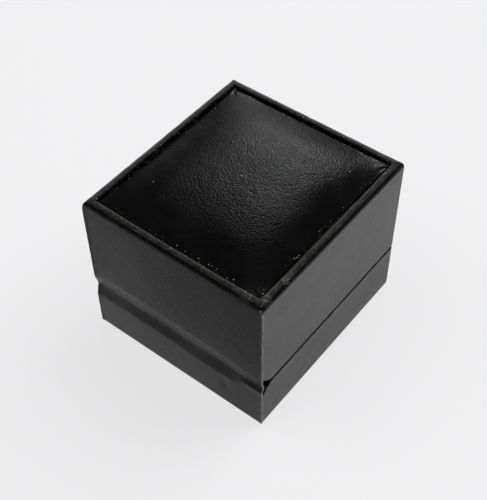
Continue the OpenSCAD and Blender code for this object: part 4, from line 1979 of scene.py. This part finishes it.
@dataclass
class Studio:
    """Camera, pale floor with a painted reflection pattern, and soft light."""

    camera_mm: tuple[float, float, float] = (-137.914, 175.445, 283.240)
    azimuth: float = 218.455
    elevation: float = 48.8515
    roll: float = -0.7281
    lens: float = 72.30
    floor_half: float = 6.0
    floor_seen: float = 0.705
    # glow of the floor's painted reflection far from the box
    painted_reflection_far: float = 0.10
    backdrop_seen: float = 0.86
    room: float = 0.022
    wall: float = 0.48
    window: float = 4.0

    def build(self) -> None:
        """Makes the camera, the floor, the lamps and the world."""
        self._camera()
        self._floor()
        self._world()
        self._lamps()
        bpy.context.scene.view_settings.view_transform = "Standard"

    def _camera(self) -> None:
        """Sets the camera at the photograph's viewing angle."""
        a, e, r = (math.radians(v) for v in (self.azimuth, self.elevation, self.roll))
        back = Vector((math.sin(a) * math.cos(e), -math.cos(a) * math.cos(e), math.sin(e)))
        right = Vector((0, 0, 1)).cross(back).normalized()
        up = back.cross(right)
        turned_right = math.cos(r) * right + math.sin(r) * up
        turned_up = math.cos(r) * up - math.sin(r) * right
        data = bpy.data.cameras.new("camera")
        data.lens = self.lens
        data.sensor_width = 36.0
        data.sensor_fit = "AUTO"
        data.clip_start = 0.01
        camera = bpy.data.objects.new("camera", data)
        rotation = Matrix((turned_right, turned_up, back)).transposed().to_4x4()
        camera.matrix_world = Matrix.Translation(Vector(self.camera_mm) * MM) @ rotation
        bpy.context.scene.collection.objects.link(camera)
        bpy.context.scene.camera = camera

    def _floor(self) -> None:
        """Lays a wide pale floor: evenly pale to the camera, with painted reflections for glossy faces."""
        h = self.floor_half
        mesh = bpy.data.meshes.new("floor")
        mesh.from_pydata([(-h, -h, 0), (h, -h, 0), (h, h, 0), (-h, h, 0)], [], [(0, 1, 2, 3)])
        material, graph = new_material("floor")
        path = graph.node("ShaderNodeLightPath")
        shown = path.out("Is Camera Ray").most(path.out("Is Glossy Ray"))
        diffuse = graph.node("ShaderNodeBsdfDiffuse", None, {"Color": (0.20, 0.199, 0.202, 1)})
        across, along, _ = graph.axes(graph.node("ShaderNodeTexCoord").out("Object"))
        # Painted reflection, seen only by glossy rays: painted shade on the floor behind the box and painted
        # light beside its -X side, fading to a dim glow far off. It sets how light or dark the box's faces
        # look.
        painted_shade_behind = 0.40 - along.step(0.041, 0.057) * 0.19 - along.step(0.054, 0.080) * 0.09
        painted_shade_behind = painted_shade_behind + across.step(0.015, 0.050) * 0.05 - (1 - across.step(-0.020, 0.004)) * 0.04
        painted_light_beside = 0.44 + across.size().step(0.043, 0.050) * 0.20
        near = painted_light_beside + (painted_shade_behind - painted_light_beside) * along.step(0.0365, 0.0385)
        far = across.size().step(0.078, 0.120).most(along.step(0.085, 0.110))
        painted_reflection = near * (1 - far) + far * self.painted_reflection_far
        seen = path.out("Is Camera Ray")
        strength = seen * self.floor_seen + (shown - seen) * painted_reflection
        glow = graph.node("ShaderNodeEmission", None, {"Color": (1.0, 0.997, 1.012, 1), "Strength": strength})
        both = graph.node("ShaderNodeAddShader", None, {0: diffuse.out(), 1: glow.out()})
        graph.node("ShaderNodeOutputMaterial", None, {"Surface": both.out()})
        mesh.materials.append(material)
        floor = bpy.data.objects.new("floor", mesh)
        bpy.context.scene.collection.objects.link(floor)

    def _world(self) -> None:
        """Lights the scene from a room that is bright beyond the box and dim overhead."""
        world = bpy.data.worlds.new("room")
        world.use_nodes = True
        bpy.context.scene.world = world
        graph = Graph(world.node_tree)
        way = graph.node("ShaderNodeTexCoord").out("Generated")
        east, north, height = graph.axes(way)
        up = height.degrees_up()
        turn = east.degrees_round(north * -1)
        wall = (turn - 36.4).size().step(13.5, 4.0) * (1 - up.step(48.5, 54.5))
        window = up.bell(38.4, 5.6) * turn.bell(29.4, 4.4)
        low = self._facing(graph, way, (0.60, -0.78, 0.15), 0.45, 0.85) * (1 - up.step(13.0, 29.0))
        strength = self.room + (wall * self.wall).most(low) + window * self.window
        shown = graph.node("ShaderNodeLightPath").out("Is Camera Ray")
        strength = strength * (1 - shown) + self.backdrop_seen * shown
        backdrop = graph.node("ShaderNodeBackground", None, {"Color": (1, 1, 1.01, 1), "Strength": strength})
        graph.node("ShaderNodeOutputWorld", None, {"Surface": backdrop.out()})

    @staticmethod
    def _facing(graph: Graph, way: Signal, aim: Sequence[float], low: float, high: float) -> Signal:
        """How well a direction agrees with another.

        Args:
            graph: The world's graph.
            way: The direction looked in.
            aim: The other direction.
            low: Cosine where the agreement starts.
            high: Cosine where it is full.

        Returns:
            The agreement, 0 to 1.
        """
        unit = Vector(aim).normalized()
        dot = graph.node("ShaderNodeVectorMath", {"operation": "DOT_PRODUCT"}, {0: way, 1: tuple(unit)})
        return dot.out("Value").step(low, high)

    def _lamps(self) -> None:
        """Hangs two soft lamps."""
        self._lamp("key", (-0.45, -0.95, 1.25), 1.3, 21.0)
        self._lamp("fill", (0.9, 0.7, 1.5), 1.6, 14.0)

    @staticmethod
    def _lamp(name: str, place: Sequence[float], size: float, watts: float) -> None:
        """Hangs one square lamp that faces the box and doesn't show in reflections.

        Args:
            name: Its name.
            place: Where it hangs, in metres.
            size: Its side.
            watts: Its power.
        """
        data = bpy.data.lights.new(name, "AREA")
        data.shape = "SQUARE"
        data.size = size
        data.energy = watts
        lamp = bpy.data.objects.new(name, data)
        lamp.location = place
        lamp.rotation_euler = (-Vector(place)).to_track_quat("-Z", "Y").to_euler()
        lamp.visible_glossy = False
        bpy.context.scene.collection.objects.link(lamp)


# ---------------------------------------------------------------- the rest of the box


@dataclass
class CarriedOver:
    """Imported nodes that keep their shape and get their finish."""

    finish_of: dict[str, Finish]

    def dress(self) -> None:
        """Gives each node its finish."""
        for name, finish in self.finish_of.items():
            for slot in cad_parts[name].material_slots:
                slot.material = finish.material()
            LOG.info("%s: %s", name, finish.value.name)


def carried_over() -> CarriedOver:
    """The nodes that keep their shape.

    Returns:
        The nodes and their finishes.
    """
    boards = ["base_floor_board", "base_front_board", "base_left_board", "base_right_board",
              "base_back_board", "lid_front_board", "lid_left_board", "lid_right_board",
              "lid_back_board", "lid_top_board"]
    finish_of = {name: Finish.BOARD for name in boards}
    finish_of |= {name: Finish.CARD for name in ("cushion_card", "lid_pad_card", "lid_inner_card")}
    finish_of |= {name: Finish.VELVET for name in ("base_neck", "lid_lining")}
    finish_of |= {name: Finish.STEEL for name in ("hinge_base_leaf", "hinge_lid_leaf", "hinge_pin")}
    finish_of |= {"base_bottom_sheet": Finish.BACK_LEATHER}
    return CarriedOver(finish_of)


def inner_parts() -> list:
    """The cushions, the inner pad, the rivets and the spring.

    Returns:
        Parts, each with a build method.
    """
    ring = {"edge_h": 9.2, "crown": 2.8, "draw": (0.7, 0.3), "roll": 5.0}
    ceiling = {"edge_h": 1.8, "crown": 1.6, "draw": (0.7, 0.7), "roll": 9.0}
    return [
        Cushion("ring_cushion_front", "front_ring_cushion", "base", **ring),
        Cushion("ring_cushion_rear", "rear_ring_cushion", "base", **ring),
        Cushion("lid_inner_pad", "lid_ceiling_pad", "lid", **ceiling, hangs=True, shrink=0.2, cap=0.5),
        Rivets("base_leaf_rivets", "base"),
        Rivets("lid_leaf_rivets", "lid"),
        SnapSpring(),
    ]


def main() -> None:
    """Builds the box and its studio."""
    logging.basicConfig(level=logging.INFO, format="%(name)s %(message)s")
    Studio().build()
    rim = Rim(SIZES)
    LidCover(SIZES, rim).build()
    RimStrip(SIZES, rim).build()
    pad = LidPad(SIZES)
    pad.build()
    PadFoam(pad).build()
    BackSheet(SIZES).build()
    BaseCover(SIZES).build()
    for part in inner_parts():
        part.build()
    carried_over().dress()


if __name__ == "__main__":
    main()
